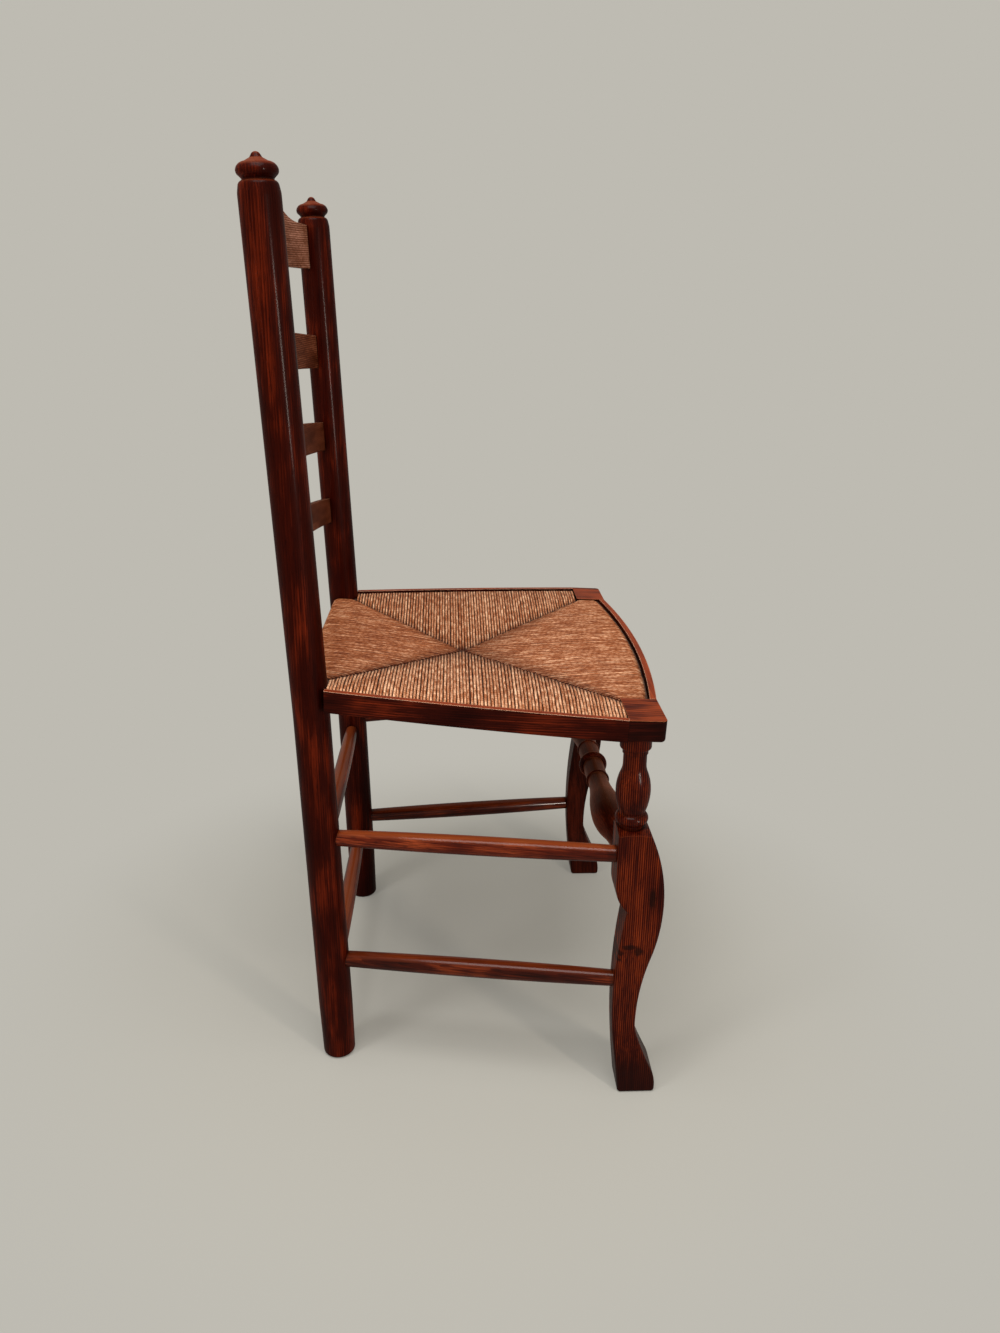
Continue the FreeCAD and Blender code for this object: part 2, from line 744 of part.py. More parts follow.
def make_corbel():
    """Rear part of the square block, with the corbel below it, lapped over the sawn part."""
    lap = "(leg_rear_round + corbel_lap)"
    corbel = padded("leg_corbel", "YZ_Plane", [
        (f"notch_rear - {lap}", "notch_up"),
        ("notch_rear", "notch_up"),
        ("block_rear", "corbel_up",
         ending_radius("(block_rear - notch_rear)", "(corbel_up - notch_up)"), 1),
        ("block_rear", BLOCK_TOP),
        (f"notch_rear - {lap}", BLOCK_TOP),
    ], "leg_wide")
    rear = value("notch_rear") + OFF_MIDDLE
    top = value(BLOCK_TOP) - NEARLY
    rounded(corbel, "corbel_edge_round", lambda e: abs(e.CenterOfMass.x) > OFF_MIDDLE
            and e.CenterOfMass.y > rear and e.CenterOfMass.z < top)
    return place(corbel, ("leg_x", "leg_y", "0"))


def make_leg_top():
    """Turned top of the front leg: ring, vase and collar, running up into the seat."""
    ring_low = f"({BLOCK_TOP} + leg_ring_gap)"
    ring_high = f"({ring_low} + leg_ring_tall)"
    ring_edge = "(leg_ring_dia / 2 - leg_ring_bulge)"
    collar_low = f"({LEG_TOP} - collar_tall)"
    lip = f"({LEG_TOP} - lip_down)"
    top = turned("leg_turning", [
        ("0", f"{BLOCK_TOP} - pommel_deep"),
        ("leg_groove_dia / 2", f"{BLOCK_TOP} - pommel_deep"),
        ("leg_groove_dia / 2", ring_low),
        (ring_edge, ring_low),
        (ring_edge, ring_high, bow_radius("(leg_ring_tall / 2)", "leg_ring_bulge"), 1),
        ("vase_foot_dia / 2", ring_high),
        ("vase_foot_dia / 2", f"{LEG_TOP} - vase_foot_down"),
        ("vase_dia / 2", f"{LEG_TOP} - vase_down",
         ending_radius("(vase_dia / 2 - vase_foot_dia / 2)", "(vase_foot_down - vase_down)"), 1),
        ("(leg_neck_dia + (vase_dia - leg_neck_dia) * vase_turn) / 2",
         f"{LEG_TOP} - leg_neck_down - (vase_down - leg_neck_down) * vase_turn", SMOOTH),
        ("leg_neck_dia / 2", f"{LEG_TOP} - leg_neck_down", SMOOTH),
        ("leg_neck_dia / 2", lip),
        ("lip_dia / 2", lip),
        ("lip_dia / 2", f"{lip} + lip_tall"),
        ("lip_dia / 2", collar_low),
        ("collar_dia / 2 - collar_round", collar_low),
        ("collar_dia / 2", f"{collar_low} + collar_round", "collar_round", 1),
        ("collar_dia / 2", f"{LEG_TOP} + trim_past"),
        ("0", f"{LEG_TOP} + trim_past"),
    ])
    return place(top, ("leg_x", "leg_y", "0"))


def make_pommel_waste():
    """Waste turned off above the square block, which leaves its rounded shoulders."""
    far = "(leg_wide)"
    waste = turned("pommel_waste", [
        ("pommel_dia / 2", f"{BLOCK_TOP} + trim_past"),
        ("pommel_dia / 2", BLOCK_TOP),
        (far, f"{BLOCK_TOP} - pommel_deep * ({far} - pommel_dia / 2) / pommel_wide"),
        (far, f"{BLOCK_TOP} + trim_past"),
    ])
    return place(waste, ("leg_x", "leg_y", "0"))


def make_leg():
    """Left front leg, and the tenon on it that goes into the corner block."""
    square = joined("leg_square", [make_sawn_leg(), make_corbel()])
    shouldered = cut_by("leg_shouldered", square, [make_pommel_waste()])
    level = FreeCAD.Vector(0, value(JOINT_Y), value("seat_top_up - block_tall"))
    slope = math.radians(value("seat_slope"))
    seat_block = half_space("above_leg", level, FreeCAD.Vector(0, -math.sin(slope), math.cos(slope)))
    turning = cut_by("leg_turning_trimmed", make_leg_top(), [seat_block])
    tenon = document.addObject("Part::Cylinder", "leg_tenon")
    tenon.setExpression("Radius", tied("leg_tenon_dia / 2"))
    tenon.setExpression("Height", tied("collar_tall / 2 + leg_tenon_long"))
    place(tenon, ("leg_x", "leg_y", f"{LEG_TOP} - collar_tall / 2"))
    return joined("leg_whole", [shouldered, turning, tenon]), tenon


def make_spindle(name, start, end, end_dia, mid_dia, tenon_dia):
    """Stretcher swelling to its middle, let into sockets at both ends."""
    long = distance(start, end)
    neck = "(socket_deep - stretcher_entry)"
    half = f"({long} / 2 - {neck})"
    body = turned(name, [
        ("0", "0"),
        (f"{tenon_dia} / 2", "0"),
        (f"{tenon_dia} / 2", neck),
        (f"{end_dia} / 2", neck),
        (f"{end_dia} / 2", f"{long} - {neck}",
         bow_radius(half, f"(({mid_dia} - {end_dia}) / 2)"), 1),
        (f"{tenon_dia} / 2", f"{long} - {neck}"),
        (f"{tenon_dia} / 2", long),
        ("0", long),
    ])
    return aim(body, start, end)


def make_side_stretcher(name, front_level, rear_level, leg_rear):
    """Side stretcher from the rear of the left front leg to the left back post."""
    front = ("leg_x + side_stretcher_in_leg", f"leg_y + {leg_rear} - socket_deep", front_level)
    rear = (post_x(rear_level), f"{post_y(rear_level, False)} - post_dia / 2 + socket_deep",
            rear_level)
    return make_spindle(name, front, rear, "side_stretcher_end_dia",
                        "side_stretcher_mid_dia", "side_tenon_dia")


def make_rear_stretcher(name, level):
    """Rear stretcher between the back posts."""
    half = f"({post_x(level)} - post_dia / 2 + socket_deep)"
    y = post_y(level, False)
    return make_spindle(name, (f"-{half}", y, level), (half, y, level),
                        "rear_stretcher_end_dia", "rear_stretcher_mid_dia", "rear_tenon_dia")


def make_front_stretcher():
    """Turned front stretcher: a ring in the middle, then a bead and a bulb to each side.

    The outline runs from the middle to the left end, and is mirrored for the right.
    """
    face = "(leg_x - leg_wide / 2)"
    ring = "(front_ring_wide / 2)"
    bead_low = "(front_bead_from_middle - front_bead_wide / 2)"
    bead_high = "(front_bead_from_middle + front_bead_wide / 2)"
    bead_edge = "(front_bead_dia / 2 - front_bead_bulge)"
    bulb = f"({face} - front_bulb_from_leg)"
    stretcher = turned("front_stretcher", [
        ("0", "0"),
        ("front_ring_dia / 2", "0"),
        ("front_ring_dia / 2 - front_ring_bulge", ring, bow_radius(ring, "front_ring_bulge"), 1),
        ("front_neck_dia / 2", ring),
        ("front_neck_dia / 2", bead_low),
        (bead_edge, bead_low),
        (bead_edge, bead_high, bow_radius("(front_bead_wide / 2)", "front_bead_bulge"), 1),
        ("front_waist_dia / 2", bead_high),
        ("(front_waist_dia + front_bulb_dia) / 4", f"({bead_high} + {bulb}) / 2",
         ending_radius("((front_bulb_dia - front_waist_dia) / 4)", f"(({bulb} - {bead_high}) / 2)"),
         -1),
        ("front_bulb_dia / 2", bulb, SMOOTH),
        ("(front_end_dia + front_bulb_dia) / 4", f"({bulb} + {face} - stretcher_entry) / 2", SMOOTH),
        ("front_end_dia / 2", f"{face} - stretcher_entry", SMOOTH),
        ("front_end_dia / 2", f"{face} + stretcher_entry"),
        ("front_tenon_dia / 2", f"{face} + stretcher_entry"),
        ("front_tenon_dia / 2", f"{face} + socket_deep"),
        ("0", f"{face} + socket_deep"),
    ])
    mirror = stretcher.newObject("PartDesign::Mirrored", "front_stretcher_mirrored")
    mirror.Originals = [stretcher.Tip]
    mirror.MirrorPlane = (origin_plane(stretcher, "XY_Plane"), [""])
    stretcher.Tip = mirror
    document.recompute()
    return place(stretcher, ("0", "leg_y + front_stretcher_set",
                               f"({BLOCK_TOP} - front_stretcher_down)"),
                 FreeCAD.Vector(0, 1, 0), "90")


def both_sides(name, left, let_in=()):
    """Left and right pieces of a name, the right one the mirror image of the left.

    Where the two sides take different pieces, each side is then cut by its own of let_in.
    """
    pair = [left, mirrored(name + "_mirrored", left)]
    if let_in:
        pair = [cut_by(f"{name}_cut_{number}", piece, [tool])
                for number, (piece, tool) in enumerate(zip(pair, let_in))]
    pair[0].Label = name + "_left"
    pair[1].Label = name + "_right"
    return pair


def make_chair():
    """All the pieces of the chair, each cut by what is let into it."""
    level = "(back_height - top_slat_down)"
    slats = [make_slat("ladder_slat_1", level, crested_slat_face)]
    for number in (2, 3, 4):
        level = f"({level} - slat_{number}_step)"
        corners = plain_slat_face(f"slat_{number}_tall")
        slats.append(make_slat(f"ladder_slat_{number}", level, corners))
    rear = [make_rear_stretcher("rear_stretcher_upper", "rear_upper_up"),
            make_rear_stretcher("rear_stretcher_lower", "rear_lower_up")]
    upper_level = f"({BLOCK_TOP} - side_upper_down)"
    side_upper = make_side_stretcher("side_upper", upper_level,
                                     f"({upper_level} - side_upper_rise)", "block_rear")
    side_lower = [make_side_stretcher(f"side_lower_{side}",
                                      f"(side_lower_up + {side}_lower_rise)",
                                      "side_lower_up", "shank_rear") for side in ("left", "right")]
    side_lower[1] = mirrored("side_lower_right_mirrored", side_lower[1])
    front_stretcher = make_front_stretcher()
    side_rail = make_side_rail()
    front_rail = make_front_rail()
    back_rail = make_back_rail()
    whole_post = make_post()
    whole_leg, leg_tenon = make_leg()
    floor = half_space("floor", FreeCAD.Vector(0, 0, 0), UP * -1)
    post = cut_by("back_post", whole_post,
                  slats + rear + [side_upper, side_rail, back_rail, floor])
    leg = cut_by("front_leg", whole_leg, [front_stretcher, side_upper])
    block = cut_by("corner_block", make_block(), [leg_tenon, side_rail, front_rail])
    strip = cut_by("edge_strip", make_side_strip(), [whole_post])
    solid_parts = [whole_post, whole_leg, side_rail]
    opposite = [mirrored(part.Name + "_opposite", part) for part in solid_parts]
    rush = cut_by("rush_seat", make_rush(), solid_parts + opposite + [front_rail, back_rail])
    chair = slats + rear + [front_stretcher, front_rail, back_rail, make_front_strip(), rush]
    for piece in chair:
        piece.Label = piece.Name
    for piece, side in zip(side_lower, ("left", "right")):
        piece.Label = f"side_stretcher_lower_{side}"
    chair += both_sides("back_post", post, side_lower)
    chair += both_sides("front_leg", leg, side_lower) + side_lower
    chair += both_sides("corner_block", block) + both_sides("edge_strip", strip)
    chair += both_sides("seat_rail", side_rail)
    chair += both_sides("side_stretcher_upper", side_upper)
    return chair


def check(pieces):
    """Stops the script if any object failed or any piece isn't one valid solid."""
    for item in document.Objects:
        if "Invalid" in item.State or "Error" in item.State:
            raise RuntimeError(f"{item.Label} failed: {item.State}")
    for piece in pieces:
        if piece.Shape.isNull() or not piece.Shape.isValid() or len(piece.Shape.Solids) != 1:
            raise RuntimeError(f"{piece.Label} isn't one valid solid")


def write(pieces):
    """Writes each piece to a file named by its label."""
    os.makedirs("parts", exist_ok=True)
    for piece in pieces:
        piece.Shape.exportStep(f"parts/{piece.Label}.step")
    box = FreeCAD.BoundBox()
    for piece in pieces:
        box.add(piece.Shape.BoundBox)
    print(f"{len(pieces)} pieces, x {box.XMin:.1f} to {box.XMax:.1f}, "
          f"y {box.YMin:.1f} to {box.YMax:.1f}, z {box.ZMin:.1f} to {box.ZMax:.1f}")


chair = make_chair()
document.recompute()
check(chair)
write(chair)
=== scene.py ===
"""Ladderback chair with a woven rush seat: finishes, weave, studio and camera."""

import logging
import math
import random
from collections.abc import Callable
from dataclasses import dataclass, field, replace
from enum import Enum
from functools import partial

import bpy
import numpy as np
from mathutils import Matrix, Vector


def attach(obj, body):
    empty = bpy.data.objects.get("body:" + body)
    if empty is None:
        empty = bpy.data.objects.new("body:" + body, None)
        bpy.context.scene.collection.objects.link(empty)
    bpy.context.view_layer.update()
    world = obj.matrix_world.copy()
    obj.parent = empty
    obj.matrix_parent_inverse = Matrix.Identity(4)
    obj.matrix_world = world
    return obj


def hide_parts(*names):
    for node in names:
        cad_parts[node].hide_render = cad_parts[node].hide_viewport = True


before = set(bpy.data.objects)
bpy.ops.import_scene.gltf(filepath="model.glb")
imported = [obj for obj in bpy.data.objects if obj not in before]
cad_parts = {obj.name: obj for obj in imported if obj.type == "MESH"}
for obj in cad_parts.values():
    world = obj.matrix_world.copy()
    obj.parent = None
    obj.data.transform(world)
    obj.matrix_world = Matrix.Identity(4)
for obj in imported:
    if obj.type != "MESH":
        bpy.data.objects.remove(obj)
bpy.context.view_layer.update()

log = logging.getLogger("ladderback")
MM = 0.001
BODY = "root"
SEAT = "rush_seat"
AddNode = Callable[..., bpy.types.Node]
Socket = bpy.types.NodeSocket


# Small helpers

def linear(colour: str, alpha: float = 1.0) -> tuple[float, float, float, float]:
    """Turns an sRGB hex colour into linear light.

    Args:
        colour: six hex digits with a leading hash.
        alpha: the fourth value.

    Returns:
        Linear red, green, blue and alpha.
    """
    parts = [int(colour[i:i + 2], 16) / 255 for i in (1, 3, 5)]
    parts = [p / 12.92 if p <= 0.04045 else ((p + 0.055) / 1.055) ** 2.4 for p in parts]
    return (*parts, alpha)


def add_node(tree: bpy.types.NodeTree, kind: str, inputs: dict | None = None,
             stops: list | None = None, **settings: object) -> bpy.types.Node:
    """Adds one node with its settings, values and links.

    Args:
        tree: the node tree that it goes into.
        kind: the node's type name.
        inputs: socket name or number to a value, a hex colour or another node's output.
        stops: places and colours of a colour ramp.
        settings: the node's own properties.

    Returns:
        The new node.
    """
    made = tree.nodes.new(kind)
    for key, value in settings.items():
        setattr(made, key, value)
    for key, value in (inputs or {}).items():
        socket = made.inputs[key]
        if isinstance(value, Socket):
            tree.links.new(value, socket)
        else:
            socket.default_value = linear(value) if isinstance(value, str) else value
    if stops:
        ramp = made.color_ramp.elements
        while len(ramp) < len(stops):
            ramp.new(1.0)
        for element, (place, colour) in zip(ramp, stops):
            element.position = place
            element.color = linear(colour)
    return made


def new_material(name: str) -> tuple[bpy.types.Material, bpy.types.NodeTree, bpy.types.Node]:
    """Makes an empty node material.

    Args:
        name: the material's name.

    Returns:
        The material, its tree and its Principled shader, already linked to the output.
    """
    material = bpy.data.materials.new(name)
    material.use_nodes = True
    tree = material.node_tree
    tree.nodes.clear()
    output = add_node(tree, "ShaderNodeOutputMaterial")
    shader = add_node(tree, "ShaderNodeBsdfPrincipled")
    tree.links.new(shader.outputs["BSDF"], output.inputs["Surface"])
    return material, tree, shader


def deselect() -> None:
    """Leaves object mode with nothing selected, as every operator needs."""
    if bpy.context.object and bpy.context.object.mode != "OBJECT":
        bpy.ops.object.mode_set(mode="OBJECT")
    bpy.ops.object.select_all(action="DESELECT")


def dress(piece: bpy.types.Object, material: bpy.types.Material) -> None:
    """Gives every material slot of a piece the same finish.

    Args:
        piece: the piece to dress.
        material: its finish.
    """
    if not piece.material_slots:
        piece.data.materials.append(material)
    for place in piece.material_slots:
        place.material = material


# Finishes

# How many degrees the seat's sides and the stretchers below them run in towards the back.
SIDE_ANGLE = 9.8


class Grain(Enum):
    """Turns, in degrees, that bring a piece's grain onto the pattern's own Z axis."""

    UPRIGHT = (0.0, 0.0, 0.0)
    ACROSS = (0.0, -90.0, 0.0)
    BACKWARDS = (90.0, 0.0, 0.0)
    BACKWARDS_LEFT = (90.0, SIDE_ANGLE, 0.0)
    BACKWARDS_RIGHT = (90.0, -SIDE_ANGLE, 0.0)


@dataclass(frozen=True)
class Knot:
    """One knot or scar, seen from the side. Sizes in mm, in the chair's own frame."""

    back: float
    up: float
    half_wide: float
    half_high: float


@dataclass(frozen=True)
class StainedAsh:
    """Ash, turned or sawn, stained red-brown and varnished; old wax has darkened its pores.

    Growth lines run along the grain, and open pores show as fine dark dashes in them. The stain
    is uneven in clouds, bands and streaks. Dirt and painted shade sit in the corners, raised
    upper edges are lighter from rubbing and a painted highlight, tops are painted lighter for
    fading and for the light from above, and what is left of the varnish gives narrow glints.
    """

    name: str
    dark: str
    middle: str
    light: str
    grain: Grain

    # Places of the three colours in the tone, and the tone that all layers together average.
    tone_stops: tuple[float, float, float] = (0.56, 0.735, 0.90)
    tone_average: float = 0.725

    # Growth lines: spacing, share of the tone, and the way to the tree's heart across the grain.
    line_mm: float = 2.4
    line_share: float = 0.20
    heart_mm: tuple[float, float] = (0.0, 0.0)

    # Shares of the stain's clouds, bands and streaks in the tone, and what sets pieces apart.
    clouds: float = 0.50
    band_share: float = 0.30
    streak_share: float = 0.35
    seed: float = 0.0

    # Open pores: how wide, long and deep they are, and how dark.
    pore_mm: float = 0.8
    pore_long_mm: float = 16.0
    pore_deep_mm: float = 0.12
    pore_share: float = 0.7

    # The varnish, and the dull bloom over it.
    roughness: float = 0.45
    specular: float = 0.02
    coat: float = 0.07
    coat_roughness: float = 0.30
    bloom: float = 0.0
    bloom_tint: str = "#cc7040"

    # Wear and painted light: upper edges lighter from rubbing and a painted highlight, tops
    # painted lighter for fading and for the light from above, dirt along edges, dirt and painted
    # shade in corners, and how far these reach.
    worn_lit_edge: str = "#8c5236"
    top: str = ""
    edge_grime: str = "#0a0100"
    corner_grime_shade: str = "#120301"
    edge_mm: float = 1.2
    corner_mm: float = 6.0
    darker_up_mm: float = 0.0

    # Worm holes, by how many places for one stand in a row of 1 cm, and knots, with how far their
    # edges stray.
    holes_per_cm: float = 0.0
    hole_dark: str = "#1a0a06"
    knots: tuple[Knot, ...] = ()
    knot_dark: str = "#120200"
    knot_ragged_mm: float = 5.0

    def streaks(self, node: AddNode, along: Socket, across_mm: float, long_mm: float,
                shift: float) -> Socket:
        """Noise drawn out along the grain.

        Args:
            node: adds a node to the material's tree.
            along: places in mm, with the grain along Z.
            across_mm: how wide one streak is.
            long_mm: how long one streak is.
            shift: keeps the layers apart.

        Returns:
            The noise's value.
        """
        moved = node("ShaderNodeMapping", {
            "Vector": along, "Scale": (1 / across_mm, 1 / across_mm, 1 / long_mm),
            "Location": (shift + self.seed, shift, shift - self.seed)}).outputs[0]
        return node("ShaderNodeTexNoise", {
            "Vector": moved, "Scale": 1.0, "Detail": 2.0, "Roughness": 0.6}).outputs["Fac"]

    def growth_lines(self, node: AddNode, along: Socket) -> Socket:
        """Growth lines round a heart far outside the piece, so that they run nearly straight.

        At scale 1 the texture's rings stand ring_apart apart. Drawn_out stretches them along
        the grain.

        Args:
            node: adds a node to the material's tree.
            along: places in mm, with the grain along Z.

        Returns:
            From 0 to 1 across each year's wood.
        """
        drawn_out = 0.06
        ring_apart = math.tau / 20
        heart = node("ShaderNodeMapping", {
            "Vector": along, "Location": (*self.heart_mm, self.seed),
            "Scale": (1.0, 1.0, drawn_out)}).outputs[0]
        return node("ShaderNodeTexWave", {
            "Vector": heart, "Scale": ring_apart / self.line_mm, "Distortion": 1.1,
            "Detail": 1.0, "Detail Scale": 0.12}, wave_type="RINGS", rings_direction="Z",
            wave_profile="SAW").outputs["Fac"]

    def tone(self, node: AddNode, along: Socket) -> Socket:
        """How light the stained wood is, from its growth lines, clouds, bands and streaks.

        Args:
            node: adds a node to the material's tree.
            along: places in mm, with the grain along Z.

        Returns:
            The tone, about tone_average.
        """
        layers = ((self.clouds, 34.0, 80.0, 5.9), (self.band_share, 9.0, 150.0, 3.1),
                  (self.streak_share, 1.5, 60.0, 7.7))
        lowest = self.tone_average - 0.5 * (self.line_share + sum(layer[0] for layer in layers))
        tone = node("ShaderNodeMath", {
            0: self.growth_lines(node, along), 1: self.line_share, 2: lowest},
            operation="MULTIPLY_ADD").outputs[0]
        for share, across_mm, long_mm, shift in layers:
            layer = self.streaks(node, along, across_mm, long_mm, shift)
            tone = node("ShaderNodeMath", {0: layer, 1: share, 2: tone},
                        operation="MULTIPLY_ADD").outputs[0]
        return tone

    def darker_foot(self, node: AddNode, along: Socket) -> Socket:
        """Where the wood is darker towards the floor.

        Args:
            node: adds a node to the material's tree.
            along: places in mm, with the grain along Z.

        Returns:
            Its strength, 0 above the darker part.
        """
        level = node("ShaderNodeSeparateXYZ", {0: along}).outputs["Z"]
        return node("ShaderNodeMapRange", {
            "Value": level, "From Min": 0.0, "From Max": self.darker_up_mm, "To Min": 0.85,
            "To Max": 0.0}, interpolation_type="SMOOTHSTEP").outputs[0]

    def knot(self, node: AddNode, along: Socket, knot: Knot) -> Socket:
        """One dark knot or scar with a ragged edge.

        Args:
            node: adds a node to the material's tree.
            along: places in mm, with the grain along Z.
            knot: where it is and how large.

        Returns:
            Its strength inside the knot, 0 outside.
        """
        rag = self.knot_ragged_mm
        ragged = node("ShaderNodeTexNoise", {
            "Vector": along, "Scale": 0.25, "Detail": 2.0}).outputs["Color"]
        moved = node("ShaderNodeVectorMath", {
            0: ragged, 1: (0.0, rag, rag), 2: along}, operation="MULTIPLY_ADD").outputs[0]
        moved = node("ShaderNodeVectorMath", {
            0: moved, 1: (0.0, knot.back + rag / 2, knot.up + rag / 2)},
            operation="SUBTRACT").outputs[0]
        moved = node("ShaderNodeVectorMath", {
            0: moved, 1: (0.0, 1 / knot.half_wide, 1 / knot.half_high)},
            operation="MULTIPLY").outputs[0]
        reach = node("ShaderNodeVectorMath", {0: moved}, operation="LENGTH").outputs["Value"]
        return node("ShaderNodeMapRange", {
            "Value": reach, "From Min": 0.7, "From Max": 1.2, "To Min": 0.8,
            "To Max": 0.0}).outputs[0]

    def wormholes(self, node: AddNode, along: Socket) -> Socket:
        """Round holes up to 2 mm wide, in most of the places for one.

        Args:
            node: adds a node to the material's tree.
            along: places in mm, with the grain along Z.

        Returns:
            1 inside a hole, 0 outside.
        """
        cells = node("ShaderNodeTexVoronoi", {
            "Vector": along, "Scale": self.holes_per_cm / 10, "Randomness": 1.0},
            feature="F1").outputs
        hole = node("ShaderNodeMapRange", {
            "Value": cells["Distance"], "From Min": 0.06, "From Max": 0.10, "To Min": 1.0,
            "To Max": 0.0}).outputs[0]
        chosen = node("ShaderNodeMath", {0: cells["Color"], 1: 0.35},
                      operation="GREATER_THAN").outputs[0]
        return node("ShaderNodeMath", {0: hole, 1: chosen}, operation="MULTIPLY").outputs[0]

    def faded_and_lit_top(self, node: AddNode, tone: Socket) -> tuple[Socket, Socket]:
        """Painted light from above: a lighter colour, in patches, of what looks up, with fading
        and dust.

        Args:
            node: adds a node to the material's tree.
            tone: how light the wood is.

        Returns:
            Where it goes, and the colour.
        """
        upward = node("ShaderNodeSeparateXYZ", {
            0: node("ShaderNodeNewGeometry").outputs["Normal"]}).outputs["Z"]
        upward = node("ShaderNodeMapRange", {
            "Value": upward, "From Min": 0.55, "From Max": 0.95, "To Max": 0.8}).outputs[0]
        patches = node("ShaderNodeMapRange", {
            "Value": tone, "From Min": 0.60, "From Max": 0.82}).outputs[0]
        faded_and_lit = node("ShaderNodeMixRGB", {
            "Fac": patches, "Color1": self.light, "Color2": self.top}).outputs[0]
        return upward, faded_and_lit

    def wear(self, node: AddNode, soft: Socket) -> list[tuple[Socket, str]]:
        """Dirt along the edges, dirt and painted shade in the corners, and upper edges lighter
        from rubbing and a painted highlight.

        Args:
            node: adds a node to the material's tree.
            soft: the normal, rounded over the edges.

        Returns:
            Where each colour goes, and the colour.
        """
        face = node("ShaderNodeNewGeometry").outputs["Normal"]
        edge = node("ShaderNodeVectorMath", {0: soft, 1: face},
                    operation="DOT_PRODUCT").outputs["Value"]
        edge = node("ShaderNodeMapRange", {
            "Value": edge, "From Min": 0.97, "From Max": 0.80, "To Max": 0.8}).outputs[0]
        # Upper edges: lighter for wear and for a painted highlight of the light from above.
        upward = node("ShaderNodeSeparateXYZ", {0: soft}).outputs["Z"]
        rubbed_and_lit = node("ShaderNodeMapRange", {
            "Value": upward, "From Min": 0.25, "From Max": 0.6}).outputs[0]
        rubbed_and_lit = node("ShaderNodeMath", {0: rubbed_and_lit, 1: edge}, operation="MULTIPLY").outputs[0]
        # Darker where other surfaces close in, by ambient occlusion: dirt, and painted shade.
        open_air = node("ShaderNodeAmbientOcclusion", {"Distance": self.corner_mm * MM},
                        samples=6).outputs["AO"]
        grime_and_shade = node("ShaderNodeMapRange", {
            "Value": open_air, "From Min": 0.3, "From Max": 0.8, "To Min": 0.8,
            "To Max": 0.0}).outputs[0]
        return [(edge, self.edge_grime), (rubbed_and_lit, self.worn_lit_edge), (grime_and_shade, self.corner_grime_shade)]

    def make(self) -> bpy.types.Material:
        """Builds the material from its real sizes.

        Returns:
            The material.
        """
        material, tree, shader = new_material(self.name)
        node = partial(add_node, tree)
        along = node("ShaderNodeMapping", {
            "Vector": node("ShaderNodeTexCoord").outputs["Object"], "Scale": (1 / MM,) * 3,
            "Rotation": tuple(math.radians(a) for a in self.grain.value)}).outputs[0]
        tone = self.tone(node, along)
        tint = node("ShaderNodeValToRGB", {"Fac": tone}, list(
            zip(self.tone_stops, (self.dark, self.middle, self.light)))).outputs["Color"]
        pores = self.streaks(node, along, self.pore_mm, self.pore_long_mm, 1.3)
        pores = node("ShaderNodeMapRange", {
            "Value": pores, "From Min": 0.55, "From Max": 0.66}).outputs[0]
        depth = pores
        marks = [(node("ShaderNodeMath", {0: pores, 1: self.pore_share},
                       operation="MULTIPLY").outputs[0], self.dark)]
        if self.darker_up_mm:
            marks.append((self.darker_foot(node, along), self.dark))
        marks.extend((self.knot(node, along, knot), self.knot_dark) for knot in self.knots)
        if self.holes_per_cm:
            hole = self.wormholes(node, along)
            marks.append((hole, self.hole_dark))
            depth = node("ShaderNodeMath", {0: depth, 1: hole}, operation="MAXIMUM").outputs[0]
        # Upward faces painted lighter, for fading and for the light from above.
        if self.top:
            marks.append(self.faded_and_lit_top(node, tone))
        soft = node("ShaderNodeBevel", {"Radius": self.edge_mm * MM}, samples=4).outputs[0]
        marks.extend(self.wear(node, soft))
        for where, colour in marks:
            tint = node("ShaderNodeMixRGB", {
                "Fac": where, "Color1": tint, "Color2": colour}).outputs[0]
        bump = node("ShaderNodeBump", {
            "Strength": 0.5, "Distance": self.pore_deep_mm * MM, "Height": depth,
            "Normal": soft}, invert=True).outputs[0]
        for key, value in {"Base Color": tint, "Normal": bump}.items():
            tree.links.new(value, shader.inputs[key])
        for key, value in {"Roughness": self.roughness, "IOR": 1.5, "Coat IOR": 1.5,
                           "Specular IOR Level": self.specular, "Coat Weight": self.coat,
                           "Coat Roughness": self.coat_roughness,
                           "Sheen Weight": self.bloom, "Sheen Roughness": 0.35,
                           "Sheen Tint": linear(self.bloom_tint)}.items():
            shader.inputs[key].default_value = value
        return material


